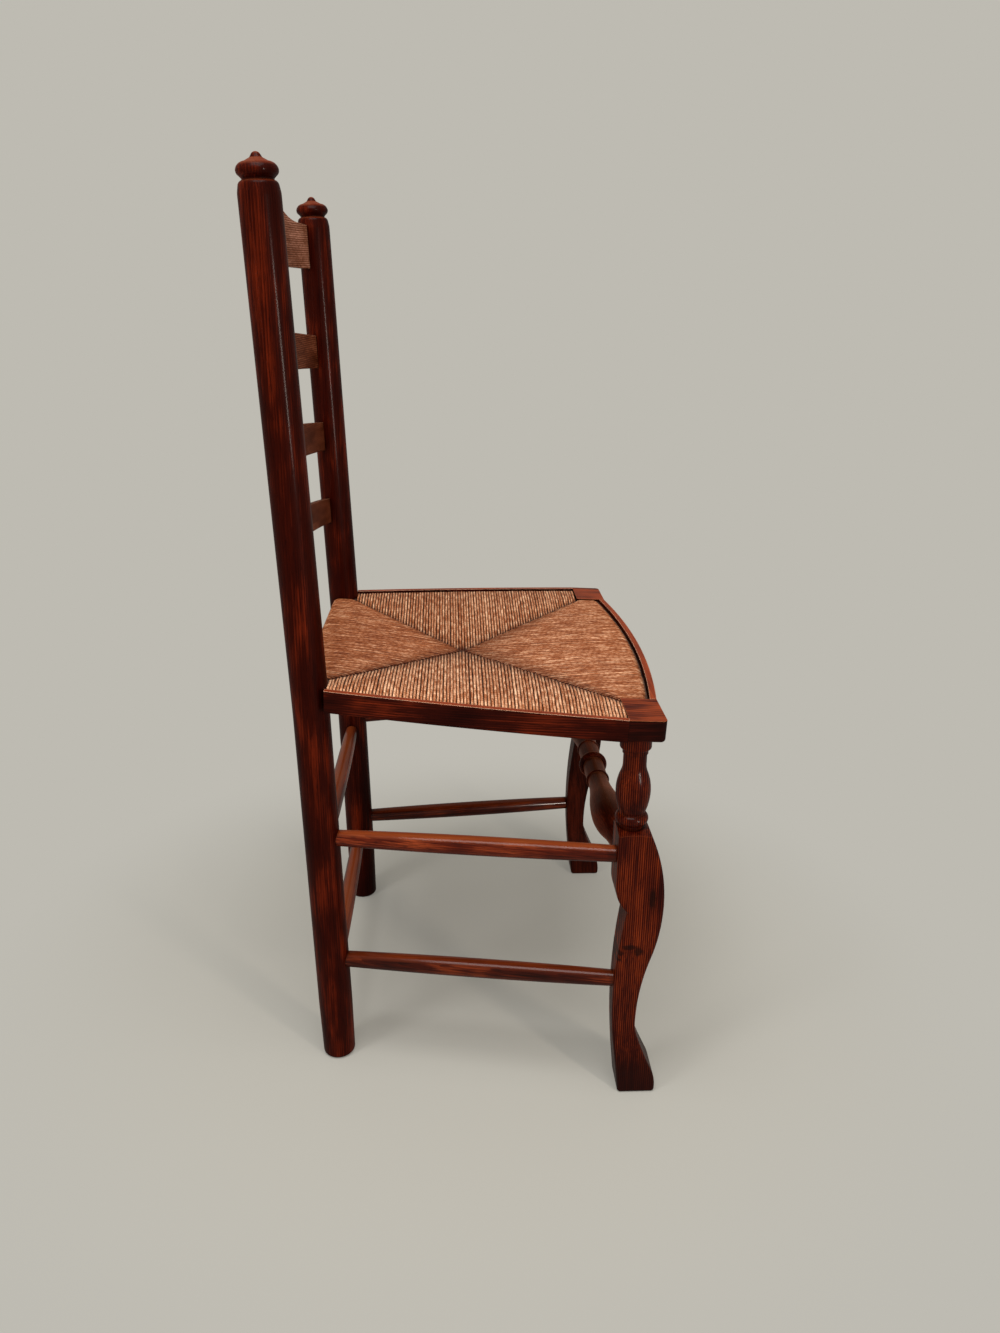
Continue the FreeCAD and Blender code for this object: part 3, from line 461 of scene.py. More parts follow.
@dataclass(frozen=True)
class TwistedRush:
    """Bulrush leaves twisted by hand into cord: dull and fibrous, with painted shade in the gaps
    between cords.

    Fine fibres run nearly along the cord, the twist shows faintly across it, each cord has its
    own tone, and the seat is darker where the four faces meet in its middle.
    """

    name: str = "twisted_rush"
    # The colour of the painted shade in the gaps between cords, also used for the dark middle.
    gap_shade: str = "#3a1302"
    dark: str = "#5c2206"
    middle: str = "#a65e32"
    light: str = "#ffcba2"
    tone_stops: tuple[float, float, float] = (0.585, 0.775, 0.92)

    # The fibres: how wide, how long, how many degrees off the cord's own line, and how deep.
    fibre_mm: float = 0.4
    fibre_long_mm: float = 20.0
    fibre_slant: float = 7.0
    fibre_deep_mm: float = 0.12

    # The twist: one turn of it, once round the cord, and how large uneven patches are and how
    # many radians they turn it.
    lay_mm: float = 6.5
    round_mm: float = 11.2
    uneven_mm: float = 16.0
    uneven_turn: float = 9.0

    # Shares in the tone, next to the fibres' share of 1.
    cord_share: float = 0.25
    uneven_share: float = 0.30
    lay_share: float = 0.05

    # The dark spot in the middle of the seat: dark to the first radius, gone at the second.
    heart_mm: float = 2.0
    heart_wide_mm: float = 15.0

    def twist(self, node: AddNode, along: Socket, uneven: Socket) -> Socket:
        """The lay of the cord: bands that wind round it.

        Args:
            node: adds a node to the material's tree.
            along: places along and round the cord, in metres.
            uneven: noise that makes the turns irregular.

        Returns:
            1 on a band, 0 between two.
        """
        parts = node("ShaderNodeSeparateXYZ", {0: along}).outputs
        turns = node("ShaderNodeMath", {0: parts["X"], 1: math.tau / (self.lay_mm * MM)},
                     operation="MULTIPLY").outputs[0]
        for value, turn in ((parts["Y"], math.tau / (self.round_mm * MM)),
                            (uneven, self.uneven_turn)):
            turns = node("ShaderNodeMath", {0: value, 1: turn, 2: turns},
                         operation="MULTIPLY_ADD").outputs[0]
        band = node("ShaderNodeMath", {0: turns}, operation="SINE").outputs[0]
        return node("ShaderNodeMapRange", {
            "Value": band, "From Min": -1.0, "From Max": 0.3}).outputs[0]

    def dark_middle(self, node: AddNode) -> Socket:
        """How much darker the seat is round its middle.

        Args:
            node: adds a node to the material's tree.

        Returns:
            Most in the middle, 0 further out.
        """
        flat = node("ShaderNodeVectorMath", {
            0: node("ShaderNodeTexCoord").outputs["Object"], 1: (1.0, 1.0, 0.0)},
            operation="MULTIPLY").outputs[0]
        reach = node("ShaderNodeVectorMath", {0: flat}, operation="LENGTH").outputs["Value"]
        return node("ShaderNodeMapRange", {
            "Value": reach, "From Min": self.heart_mm * MM, "From Max": self.heart_wide_mm * MM,
            "To Min": 0.9, "To Max": 0.0}, interpolation_type="SMOOTHSTEP").outputs[0]

    def make(self) -> bpy.types.Material:
        """Builds the material; the twist and fibres follow the cord's own UV map.

        Returns:
            The material.
        """
        material, tree, shader = new_material(self.name)
        node = partial(add_node, tree)
        along = node("ShaderNodeUVMap", uv_map="cord").outputs["UV"]
        cord = node("ShaderNodeAttribute", attribute_name="cord_tone").outputs["Fac"]
        crest = node("ShaderNodeAttribute", attribute_name="cord_crest").outputs["Fac"]
        drawn_out = node("ShaderNodeMapping", {
            "Vector": along, "Rotation": (0.0, 0.0, math.radians(self.fibre_slant)),
            "Scale": (1 / (self.fibre_long_mm * MM), 1 / (self.fibre_mm * MM), 1.0)}).outputs[0]
        fibres = node("ShaderNodeTexNoise", {
            "Vector": drawn_out, "Scale": 1.0, "Detail": 3.0, "Roughness": 0.7}).outputs["Fac"]
        uneven = node("ShaderNodeTexNoise", {
            "Vector": along, "Scale": 1 / (self.uneven_mm * MM), "Detail": 1.0}).outputs["Fac"]
        lay = self.twist(node, along, uneven)
        tone = fibres
        for layer, share in ((cord, self.cord_share), (uneven, self.uneven_share),
                             (lay, self.lay_share)):
            tone = node("ShaderNodeMath", {0: layer, 1: share, 2: tone},
                        operation="MULTIPLY_ADD").outputs[0]
        tint = node("ShaderNodeValToRGB", {"Fac": tone}, list(
            zip(self.tone_stops, (self.dark, self.middle, self.light)))).outputs["Color"]
        # Painted shade in the valleys between cords and at the seams.
        valley_shade = node("ShaderNodeMapRange", {
            "Value": crest, "From Min": 0.05, "From Max": 0.65, "To Min": 1.0,
            "To Max": 0.0}).outputs[0]
        for where in (valley_shade, self.dark_middle(node)):
            tint = node("ShaderNodeMixRGB", {
                "Fac": where, "Color1": tint, "Color2": self.gap_shade}).outputs[0]
        height = node("ShaderNodeMath", {0: fibres, 1: 3.0, 2: lay},
                      operation="MULTIPLY_ADD").outputs[0]
        bump = node("ShaderNodeBump", {
            "Strength": 0.5, "Distance": self.fibre_deep_mm * MM, "Height": height}).outputs[0]
        for key, value in {"Base Color": tint, "Normal": bump}.items():
            tree.links.new(value, shader.inputs[key])
        for key, value in {"Roughness": 0.6, "IOR": 1.45, "Specular IOR Level": 0.2}.items():
            shader.inputs[key].default_value = value
        return material


@dataclass(frozen=True)
class RushStuffing:
    """Crushed leaf ends packed between the layers, brown with dust and painted darker for the
    shade in the gaps, the only place where they show.
    """

    name: str = "rush_stuffing"
    dark: str = "#2c170d"
    light: str = "#4a2c1b"
    scrap_mm: float = 2.5

    def make(self) -> bpy.types.Material:
        """Builds the material.

        Returns:
            The material.
        """
        material, tree, shader = new_material(self.name)
        place = add_node(tree, "ShaderNodeTexCoord").outputs["Object"]
        noise = add_node(tree, "ShaderNodeTexNoise", {
            "Vector": place, "Scale": 1 / (self.scrap_mm * MM), "Detail": 3.0}).outputs["Fac"]
        tint = add_node(tree, "ShaderNodeValToRGB", {"Fac": noise}, [
            (0.35, self.dark), (0.65, self.light)]).outputs["Color"]
        tree.links.new(tint, shader.inputs["Base Color"])
        shader.inputs["Roughness"].default_value = 0.9
        shader.inputs["IOR"].default_value = 1.4
        return material


# The woven seat

class Side(Enum):
    """The four faces of the weave, each wound over its own rail."""

    FRONT = "front"
    BACK = "back"
    LEFT = "left"
    RIGHT = "right"

    @property
    def over_cross_rail(self) -> bool:
        """True for the two faces whose rails run from left to right."""
        return self in (Side.FRONT, Side.BACK)


@dataclass(frozen=True)
class Hand:
    """How uneven the weaver's hand is. Lengths in mm."""

    # Least and greatest thickness against the usual, and from here on standard deviations.
    thickness: tuple[float, float] = (0.93, 1.06)
    swell: float = 0.04
    spacing: float = 0.10
    sideways: float = 0.14
    level: float = 0.12
    seam: float = 0.8
    tone: float = 0.07


@dataclass(frozen=True)
class Strand:
    """One straight strand as arrays: its rings stand one unit apart along Z, with radius 1.

    Ring and step say which ring a point is on and how far round it. Crest is 1 midway between
    the neighbouring strands, 0 where they touch and 0 on the first ring.
    """

    points: np.ndarray
    ring: np.ndarray
    step: np.ndarray
    crest: list[float]
    faces: list[list[int]]


@dataclass
class WovenFace:
    """The cords of one face, gathered before they become one mesh."""

    points: list[np.ndarray] = field(default_factory=list)
    faces: list[list[int]] = field(default_factory=list)
    places: list[tuple[float, float]] = field(default_factory=list)
    tones: list[float] = field(default_factory=list)
    crests: list[float] = field(default_factory=list)

    def piece(self, name: str) -> bpy.types.Object:
        """Turns the cords into one smooth piece.

        Args:
            name: the piece's name.

        Returns:
            The piece, with a "cord" UV map and the attributes "cord_tone" and "cord_crest",
            which is 1 on a cord's crest and 0 in the valleys and at the seams.
        """
        mesh = bpy.data.meshes.new(name)
        mesh.from_pydata(np.concatenate(self.points).tolist(), [], self.faces)
        mesh.uv_layers.new(name="cord").data.foreach_set("uv", np.array(self.places).ravel())
        for attribute, values in (("cord_tone", self.tones), ("cord_crest", self.crests)):
            mesh.attributes.new(attribute, "FLOAT", "POINT").data.foreach_set("value", values)
        piece = bpy.data.objects.new(name, mesh)
        bpy.context.collection.objects.link(piece)
        deselect()
        piece.select_set(True)
        bpy.context.view_layer.objects.active = piece
        bpy.ops.object.mode_set(mode="EDIT")
        bpy.ops.mesh.select_all(action="SELECT")
        bpy.ops.mesh.normals_make_consistent(inside=False)
        bpy.ops.object.mode_set(mode="OBJECT")
        bpy.ops.object.shade_smooth()
        return piece


@dataclass
class RushSeat:
    """Rush cord wound over four rails, its faces meeting on the diagonals. Sizes in mm.

    All places are in the seat's own plane: X across, Y back from the line behind the corner
    blocks, Z up from the top of the frame.
    """

    # The seat's plane in the chair's frame: its origin and how many degrees it rises backwards.
    origin: tuple[float, float, float] = (0.0, -162.83, 458.8)
    slope: float = 2.2

    # Where the diagonals start on the left side and where they meet.
    front_corner: tuple[float, float] = (193.0, 1.5)
    rear_corner: tuple[float, float] = (156.5, 307.0)
    middle: tuple[float, float] = (0.0, 163.0)

    # How far out the cords reach over each rail, and how far the rails bow out.
    front_edge: float = -31.6
    front_bow: float = 14.0
    rear_edge: float = 339.1
    side_edge_front: float = 249.3
    side_edge_rear: float = 192.7
    side_bow: float = 4.0
    side_long: float = 307.6

    # Top and underside, how deep the seat is sat in, and from where its middle is level.
    top: float = -1.2
    bottom: float = -25.0
    dish: float = 15.0
    level_from: float = 0.94

    # The cord: its thickness, and the cords, their end gaps and their tone for each face.
    cord: float = 3.55
    cords: dict[Side, int] = field(default_factory=lambda: {
        Side.FRONT: 108, Side.BACK: 88, Side.LEFT: 84, Side.RIGHT: 88})
    end_gaps: dict[Side, tuple[float, float]] = field(default_factory=lambda: {
        Side.FRONT: (1.5, 1.5), Side.BACK: (1.0, 1.0),
        Side.LEFT: (1.0, 1.5), Side.RIGHT: (1.0, 1.5)})
    tone: dict[Side, float] = field(default_factory=lambda: {
        Side.FRONT: 0.25, Side.BACK: 0.15, Side.LEFT: 0.4, Side.RIGHT: 0.45})
    shortest: float = 16.0

    # The lean of the side faces' cords, per mm of their length: on the right at the front, and
    # the share of the row where it ends; on the left at the front, and what it loses to the back.
    right_lean: float = -0.07
    right_lean_until: float = 0.55
    left_lean: float = 0.02
    left_lean_loss: float = 0.05

    # How far the stuffing lies inside the solid's surface.
    stuffing_in: float = 3.0

    # The strand's mesh: points round a ring, rings, and the end rings' share of the full width.
    sides: int = 8
    rings: int = 12
    end_share: float = 0.55

    # The weaver's hand, and the seed of its chances.
    hand: Hand = Hand()
    seed: int = 7

    def strand(self) -> Strand:
        """Models one straight strand: a disc drawn out ring by ring, narrower at both ends.

        Drawing out leaves points and faces in an order that changes from run to run, so both
        are put in order here.

        Returns:
            The strand as arrays.
        """
        deselect()
        narrow = (self.end_share, self.end_share, 1.0)
        widen = (1 / self.end_share, 1 / self.end_share, 1.0)
        bpy.ops.mesh.primitive_circle_add(vertices=self.sides, radius=1.0, fill_type="NGON")
        bpy.ops.object.mode_set(mode="EDIT")
        bpy.ops.mesh.select_all(action="SELECT")
        bpy.ops.transform.resize(value=narrow)
        bpy.ops.mesh.extrude_region_move(TRANSFORM_OT_translate={"value": (0, 0, 1)})
        bpy.ops.transform.resize(value=widen)
        for _ in range(2, self.rings):
            bpy.ops.mesh.extrude_region_move(TRANSFORM_OT_translate={"value": (0, 0, 1)})
        bpy.ops.transform.resize(value=narrow)
        bpy.ops.mesh.select_all(action="SELECT")
        bpy.ops.mesh.normals_make_consistent(inside=False)
        bpy.ops.object.mode_set(mode="OBJECT")
        straight = bpy.context.object
        points = np.array([v.co[:] for v in straight.data.vertices])
        faces = [list(p.vertices) for p in straight.data.polygons]
        bpy.data.objects.remove(straight)
        ring = np.rint(points[:, 2]).astype(int)
        turn = np.arctan2(points[:, 1], points[:, 0]) / math.tau
        step = np.rint(turn * self.sides).astype(int) % self.sides
        order = np.lexsort((step, ring))
        number = np.argsort(order).tolist()
        faces = sorted(([number[point] for point in face] for face in faces), key=sorted)
        points, ring, step = points[order], ring[order], step[order]
        seam_share = np.array([0.0, 0.5] + [1.0] * (self.rings - 2))[ring]
        crest = (1.0 - np.abs(points[:, 0])) * seam_share
        return Strand(points, ring, step, crest.tolist(), faces)

    def in_row(self, points: np.ndarray) -> np.ndarray:
        """Moves places from the seat's own plane into the chair's frame.

        Args:
            points: places in the seat's plane, in mm.

        Returns:
            The same places in the chair's frame, in metres.
        """
        turn = math.radians(self.slope)
        x, y, z = points[..., 0], points[..., 1], points[..., 2]
        return np.stack([
            self.origin[0] + x,
            self.origin[1] + y * math.cos(turn) - z * math.sin(turn),
            self.origin[2] + y * math.sin(turn) + z * math.cos(turn)], axis=-1) * MM

    def edge(self, side: Side, along: float) -> float:
        """How far out a face's cords reach.

        Args:
            side: the face.
            along: the place on its rail.

        Returns:
            Its Y on the front and back faces, its distance from the middle line on the others.
        """
        if side is Side.FRONT:
            return self.front_edge - self.front_bow * (1 - (along / self.front_corner[0]) ** 2)
        if side is Side.BACK:
            return self.rear_edge
        share = along / self.side_long
        straight = self.side_edge_front + (self.side_edge_rear - self.side_edge_front) * share
        return straight + self.side_bow * 4 * share * (1 - share)

    def seam(self, side: Side, along: float) -> float:
        """How far in a face's cords reach: the diagonal.

        Args:
            side: the face.
            along: the place on its rail.

        Returns:
            Its Y on the front and back faces, its distance from the middle line on the others.
        """
        front, rear, middle = self.front_corner, self.rear_corner, self.middle
        if side.over_cross_rail:
            corner = front if side is Side.FRONT else rear
            return middle[1] + (corner[1] - middle[1]) * min(abs(along) / corner[0], 1.0)
        corner = front if along < middle[1] else rear
        return corner[0] * min(abs(along - middle[1]) / abs(corner[1] - middle[1]), 1.0)

    def height(self, x: float, y: float) -> float:
        """Top of the dished seat: level at the rim, lowest where the diagonals meet.

        Args:
            x: the place across.
            y: the place backwards.

        Returns:
            The level there.
        """
        front, rear, middle = self.front_corner, self.rear_corner, self.middle
        back = min(max((y - front[1]) / (rear[1] - front[1]), 0.0), 1.0)
        rim = front[0] + (rear[0] - front[0]) * back
        inward = min((y - front[1]) / (middle[1] - front[1]),
                     (y - rear[1]) / (middle[1] - rear[1]), (rim - abs(x)) / rim)
        return self.top - self.dish * min(max(inward, 0.0), self.level_from)

    def span(self, side: Side) -> tuple[float, float]:
        """Where a face's first and last cords cross their rail.

        Args:
            side: the face.

        Returns:
            Both places on the rail.
        """
        low, high = self.front_corner[1], self.rear_corner[1]
        if side.over_cross_rail:
            high = (self.front_corner if side is Side.FRONT else self.rear_corner)[0]
            low = -high
        first, last = self.end_gaps[side]
        return low + first, high - last

    def lean(self, side: Side, share: float) -> float:
        """How far a cord's inner end moves sideways, per mm of its length.

        Args:
            side: the face.
            share: how far along its row the cord is, from 0 to 1.

        Returns:
            The lean.
        """
        if side is Side.RIGHT:
            until = self.right_lean_until
            return self.right_lean * max(0.0, until - share) / until
        if side is Side.LEFT:
            return self.left_lean - self.left_lean_loss * share
        return 0.0

    def route(self, side: Side, along: float, lean: float, radius: float,
              chance: random.Random) -> np.ndarray:
        """Centre line of one cord, from the top seam round its rail to the seam below.

        Args:
            side: the face that it belongs to.
            along: where it crosses its rail.
            lean: how far its inner end moves sideways, per mm of its length.
            radius: half its thickness.
            chance: the seeded source of small irregularities.

        Returns:
            One point per ring, in the seat's own plane.
        """
        out = self.edge(side, along)
        inner = self.seam(side, along)
        way = -1.0 if side is Side.FRONT else 1.0
        long = (out - inner) * way
        ragged = chance.gauss(0, self.hand.seam)
        for _ in range(2):
            inner = self.seam(side, along + lean * long) + ragged
            long = max((out - inner) * way, self.shortest)
        wobble = chance.gauss(0, self.hand.level)

        # On the seat: how far in from the edge, and how far above the dished top.
        points = []
        for inward, rise in ((long + 0.5, -5.0), (long - 3.6, -1.3), (0.72 * long + 3.0, 0.0),
                             (0.46 * long + 5.0, 0.0), (0.22 * long + 8.0, 0.0), (8.5, 0.15)):
            sideways = along + lean * inward + chance.gauss(0, self.hand.sideways)
            reach = out - way * inward
            x, y = (sideways, reach) if side.over_cross_rail else (reach, sideways)
            points.append((x, y, self.height(x, y) - radius + rise + wobble))

        # Over the rail and back underneath: how far in from the edge, and the level. The cord
        # leans no further than at turn_at.
        turn_at = 9.0
        under = self.bottom + radius
        for inward, level in ((4.2, self.top - radius - 1.6), (radius + 0.4, -8.5),
                              (radius + 0.4, -17.5), (4.6, under + 1.6), (turn_at, under),
                              (max(long - 1.0, 10.0), under)):
            sideways = along + lean * min(inward, turn_at)
            reach = out - way * inward
            x, y = (sideways, reach) if side.over_cross_rail else (reach, sideways)
            points.append((x, y, level))
        points = np.array(points)
        if side is Side.RIGHT:
            points[:, 0] *= -1
        return points

    def lay(self, side: Side, strand: Strand, line: np.ndarray, radius: float,
            chance: random.Random) -> np.ndarray:
        """Bends the straight strand onto a cord's centre line.

        Args:
            side: the face that it belongs to.
            strand: the straight strand.
            line: one point of the centre line per ring.
            radius: half the cord's thickness.
            chance: the seeded source of small irregularities.

        Returns:
            The strand's points, in the seat's own plane.
        """
        ahead = np.gradient(line, axis=0)
        ahead /= np.linalg.norm(ahead, axis=1)[:, None]
        flat = np.array((1.0, 0.0, 0.0) if side.over_cross_rail else (0.0, 1.0, 0.0))
        across = flat - ahead * (ahead @ flat)[:, None]
        across /= np.linalg.norm(across, axis=1)[:, None]
        up = np.cross(ahead, across)
        swelling = np.array([chance.gauss(0, 1) for _ in range(self.rings)])
        ring = strand.ring
        wide = (radius * (1 + self.hand.swell * swelling))[ring][:, None]
        return (line[ring] + across[ring] * (strand.points[:, :1] * wide)
                + up[ring] * (strand.points[:, 1:2] * wide))

    def cord_places(self, strand: Strand, line: np.ndarray, radius: float,
                    shift: float) -> list[tuple[float, float]]:
        """Where each corner of a cord's faces lies along and round the cord.

        Args:
            strand: the straight strand.
            line: the cord's centre line.
            radius: half its thickness.
            shift: moves the pattern, so that no two cords look alike.

        Returns:
            A place for every corner of every face, in metres.
        """
        steps = np.linalg.norm(np.diff(line, axis=0), axis=1)
        length = np.concatenate([[0], np.cumsum(steps)])
        places = []
        for face in strand.faces:
            turned = [strand.step[point] for point in face]
            wraps = len(face) == 4 and max(turned) - min(turned) > 1
            for point, step in zip(face, turned):
                step = step + self.sides if wraps and step == 0 else step
                places.append(((length[strand.ring[point]] + shift) * MM,
                               step / self.sides * math.tau * radius * MM + shift * MM))
        return places

    def weave(self, side: Side, strand: Strand) -> bpy.types.Object:
        """Lays copies of the strand side by side over one rail and joins them into a face.

        Args:
            side: the face to weave.
            strand: the straight strand to copy.

        Returns:
            The face as one piece.
        """
        chance = random.Random(f"{self.seed}{side.value}")
        low, high = self.span(side)
        pitch = (high - low) / (self.cords[side] - 1)
        woven = WovenFace()
        for number in range(self.cords[side]):
            radius = self.cord / 2 * chance.uniform(*self.hand.thickness)
            along = low + pitch * number + chance.gauss(0, self.hand.spacing)
            lean = self.lean(side, (along - low) / (high - low))
            line = self.route(side, along, lean, radius, chance)
            woven.points.append(self.in_row(self.lay(side, strand, line, radius, chance)))
            shift = chance.uniform(0, 500)
            tone = min(max(chance.gauss(self.tone[side], self.hand.tone), 0.0), 1.0)
            first = number * len(strand.points)
            woven.faces.extend([first + point for point in face] for face in strand.faces)
            woven.places.extend(self.cord_places(strand, line, radius, shift))
            woven.tones.extend([tone] * len(strand.points))
            woven.crests.extend(strand.crest)
        return woven.piece(f"rush_{side.value}")

    def stuffing(self) -> bpy.types.Object:
        """The packing inside the weave: a copy of the seat's solid, merged and drawn in.

        Returns:
            The packing.
        """
        deselect()
        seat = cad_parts[SEAT]
        seat.select_set(True)
        bpy.context.view_layer.objects.active = seat
        bpy.ops.object.duplicate()
        packing = bpy.context.object
        packing.name = "rush_stuffing"
        packing.data = packing.data.copy()
        bpy.ops.object.mode_set(mode="EDIT")
        bpy.ops.mesh.select_all(action="SELECT")
        bpy.ops.mesh.remove_doubles(threshold=0.01 * MM)
        bpy.ops.transform.shrink_fatten(value=-self.stuffing_in * MM)
        bpy.ops.object.mode_set(mode="OBJECT")
        return packing

    def build(self, cords: bpy.types.Material, packing: bpy.types.Material) -> None:
        """Weaves the seat and puts it in the solid's place.

        Args:
            cords: the cords' finish.
            packing: the stuffing's finish.
        """
        strand = self.strand()
        finished = [(self.weave(side, strand), cords) for side in Side]
        finished.append((self.stuffing(), packing))
        for piece, finish in finished:
            dress(piece, finish)
            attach(piece, BODY)
            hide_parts(SEAT)
            log.info("%s: %d faces", piece.name, len(piece.data.polygons))


# The wooden frame

@dataclass
class ChairFrame:
    """Posts, legs, slats, rails, strips and stretchers: the solids themselves, each dressed."""

    # Top colours paint the light from above onto upward faces, and the upper-edge colours include
    # a painted highlight.
    post: StainedAsh = StainedAsh(
        "post_ash", "#160100", "#2c0601", "#6a200a", Grain.UPRIGHT, heart_mm=(0.0, 300.0),
        line_share=0.06, clouds=0.36, streak_share=0.18, coat=0.05, coat_roughness=0.14,
        top="#74402a", worn_lit_edge="#7a3418")
    leg: StainedAsh = StainedAsh(
        "leg_ash", "#160100", "#300501", "#782c0c", Grain.UPRIGHT, heart_mm=(145.0, -400.0),
        line_mm=2.2, line_share=0.24, clouds=0.28, streak_share=0.22, seed=40.0, coat=0.12,
        coat_roughness=0.19, worn_lit_edge="#6a2c14", darker_up_mm=110.0,
        knots=(Knot(-198.0, 254.0, 3.8, 13.0), Knot(-187.0, 187.0, 5.0, 6.5),
               Knot(-177.0, 193.0, 8.0, 3.4), Knot(-166.0, 185.0, 6.0, 3.2),
               Knot(-164.0, 176.0, 5.0, 2.6)))
    # The far leg: the near leg's stain painted darker, for the shade under the seat.
    shaded_far_leg: StainedAsh = StainedAsh(
        "shaded_far_leg_ash", "#0e0100", "#1e0300", "#46160a", Grain.UPRIGHT,
        heart_mm=(-145.0, -400.0), line_mm=2.2, seed=43.0, worn_lit_edge="#4a1a0c", bloom=0.1)
    slat: StainedAsh = StainedAsh(
        "slat_ash", "#2a0f05", "#4c2110", "#7a4832", Grain.ACROSS, line_share=0.22,
        streak_share=0.24, coat=0.04, roughness=0.5, seed=17.0, holes_per_cm=0.9,
        worn_lit_edge="#a06c54")
    # The top slat: the slats' stain painted lighter, for the light from above.
    crest: StainedAsh = StainedAsh(
        "lit_top_slat_ash", "#43200f", "#744632", "#b07e6a", Grain.ACROSS, line_share=0.25,
        streak_share=0.22, coat=0.04, roughness=0.5, seed=29.0, holes_per_cm=0.9,
        worn_lit_edge="#b0826a")
    stretcher: StainedAsh = StainedAsh(
        "rear_stretcher_ash", "#180200", "#481103", "#88391a", Grain.ACROSS, line_share=0.08,
        coat=0.26, coat_roughness=0.12, seed=61.0, top="#84401e")
    lower: StainedAsh = StainedAsh(
        "lower_stretcher_ash", "#160200", "#360b02", "#702c10", Grain.ACROSS, line_share=0.08,
        coat=0.26, coat_roughness=0.12, seed=63.0, top="#461705")
    turned_front: StainedAsh = StainedAsh(
        "front_stretcher_ash", "#140100", "#2a0501", "#541c0b", Grain.ACROSS, line_share=0.08,
        coat=0.04, coat_roughness=0.12, bloom=0.60, seed=71.0)
    block: StainedAsh = StainedAsh(
        "block_ash", "#0c0100", "#1a0301", "#3e0e05", Grain.BACKWARDS, line_share=0.10,
        seed=5.0, top="#943e1c", worn_lit_edge="#b06840")
    strip: StainedAsh = StainedAsh(
        "strip_ash", "#140100", "#2c0702", "#6a220c", Grain.ACROSS, line_share=0.10,
        streak_share=0.2, seed=11.0, top="#943e1c", worn_lit_edge="#fcc29e")

    # The rails inside the weave were never stained.
    bare: StainedAsh = StainedAsh(
        "rail_ash", "#8b6a45", "#b08c62", "#c6a67d", Grain.ACROSS, coat=0.0, roughness=0.7,
        worn_lit_edge="#b08c62", seed=3.0)

    def finishes(self) -> dict[str, StainedAsh]:
        """Which finish each kind of piece has.

        Returns:
            How the nodes' names start, to their finish. The first that fits counts.
        """
        kinds = {
            "back_post": self.post, "front_leg_left": self.shaded_far_leg, "front_leg": self.leg,
            "ladder_slat_1": self.crest, "ladder_slat": self.slat, "corner_block": self.block,
            "rear_stretcher": self.stretcher, "front_stretcher": self.turned_front,
            "edge_strip_front": self.strip, "seat_rail": self.bare}
        turned = (("side_stretcher_upper", self.stretcher, "side_stretcher"),
                  ("side_stretcher_lower", self.lower, "lower"),
                  ("edge_strip", self.strip, "strip"))
        for start, finish, name in turned:
            for side, grain in (("left", Grain.BACKWARDS_LEFT), ("right", Grain.BACKWARDS_RIGHT)):
                kinds[f"{start}_{side}"] = replace(finish, name=f"{name}_{side}_ash", grain=grain)
        return kinds

    def build(self) -> None:
        """Dresses every wooden node."""
        made: dict[str, bpy.types.Material] = {}
        kinds = self.finishes()
        for name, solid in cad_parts.items():
            if name == SEAT:
                continue
            finish = next(kinds[start] for start in kinds if name.startswith(start))
            if finish.name not in made:
                made[finish.name] = finish.make()
            dress(solid, made[finish.name])
            log.info("%s: %s", name, finish.name)


# Studio

@dataclass(frozen=True)
class SoftBox:
    """One rectangular lamp. Places and sizes in metres; glints says if the varnish shows it."""

    name: str
    place: tuple[float, float, float]
    size: tuple[float, float]
    watts: float
    colour: str = "#ffffff"
    glints: bool = True

    def light(self, target: tuple[float, float, float]) -> None:
        """Adds the lamp and turns it to a point.

        Args:
            target: the point that it faces.
        """
        deselect()
        bpy.ops.object.light_add(type="AREA", location=self.place)
        lamp = bpy.context.object
        lamp.name = self.name
        lamp.data.shape = "RECTANGLE"
        lamp.data.size, lamp.data.size_y = self.size
        lamp.data.energy = self.watts
        lamp.data.color = linear(self.colour)[:3]
        lamp.visible_glossy = self.glints
        way = Vector(target) - Vector(self.place)
        lamp.rotation_euler = way.to_track_quat("-Z", "Y").to_euler()


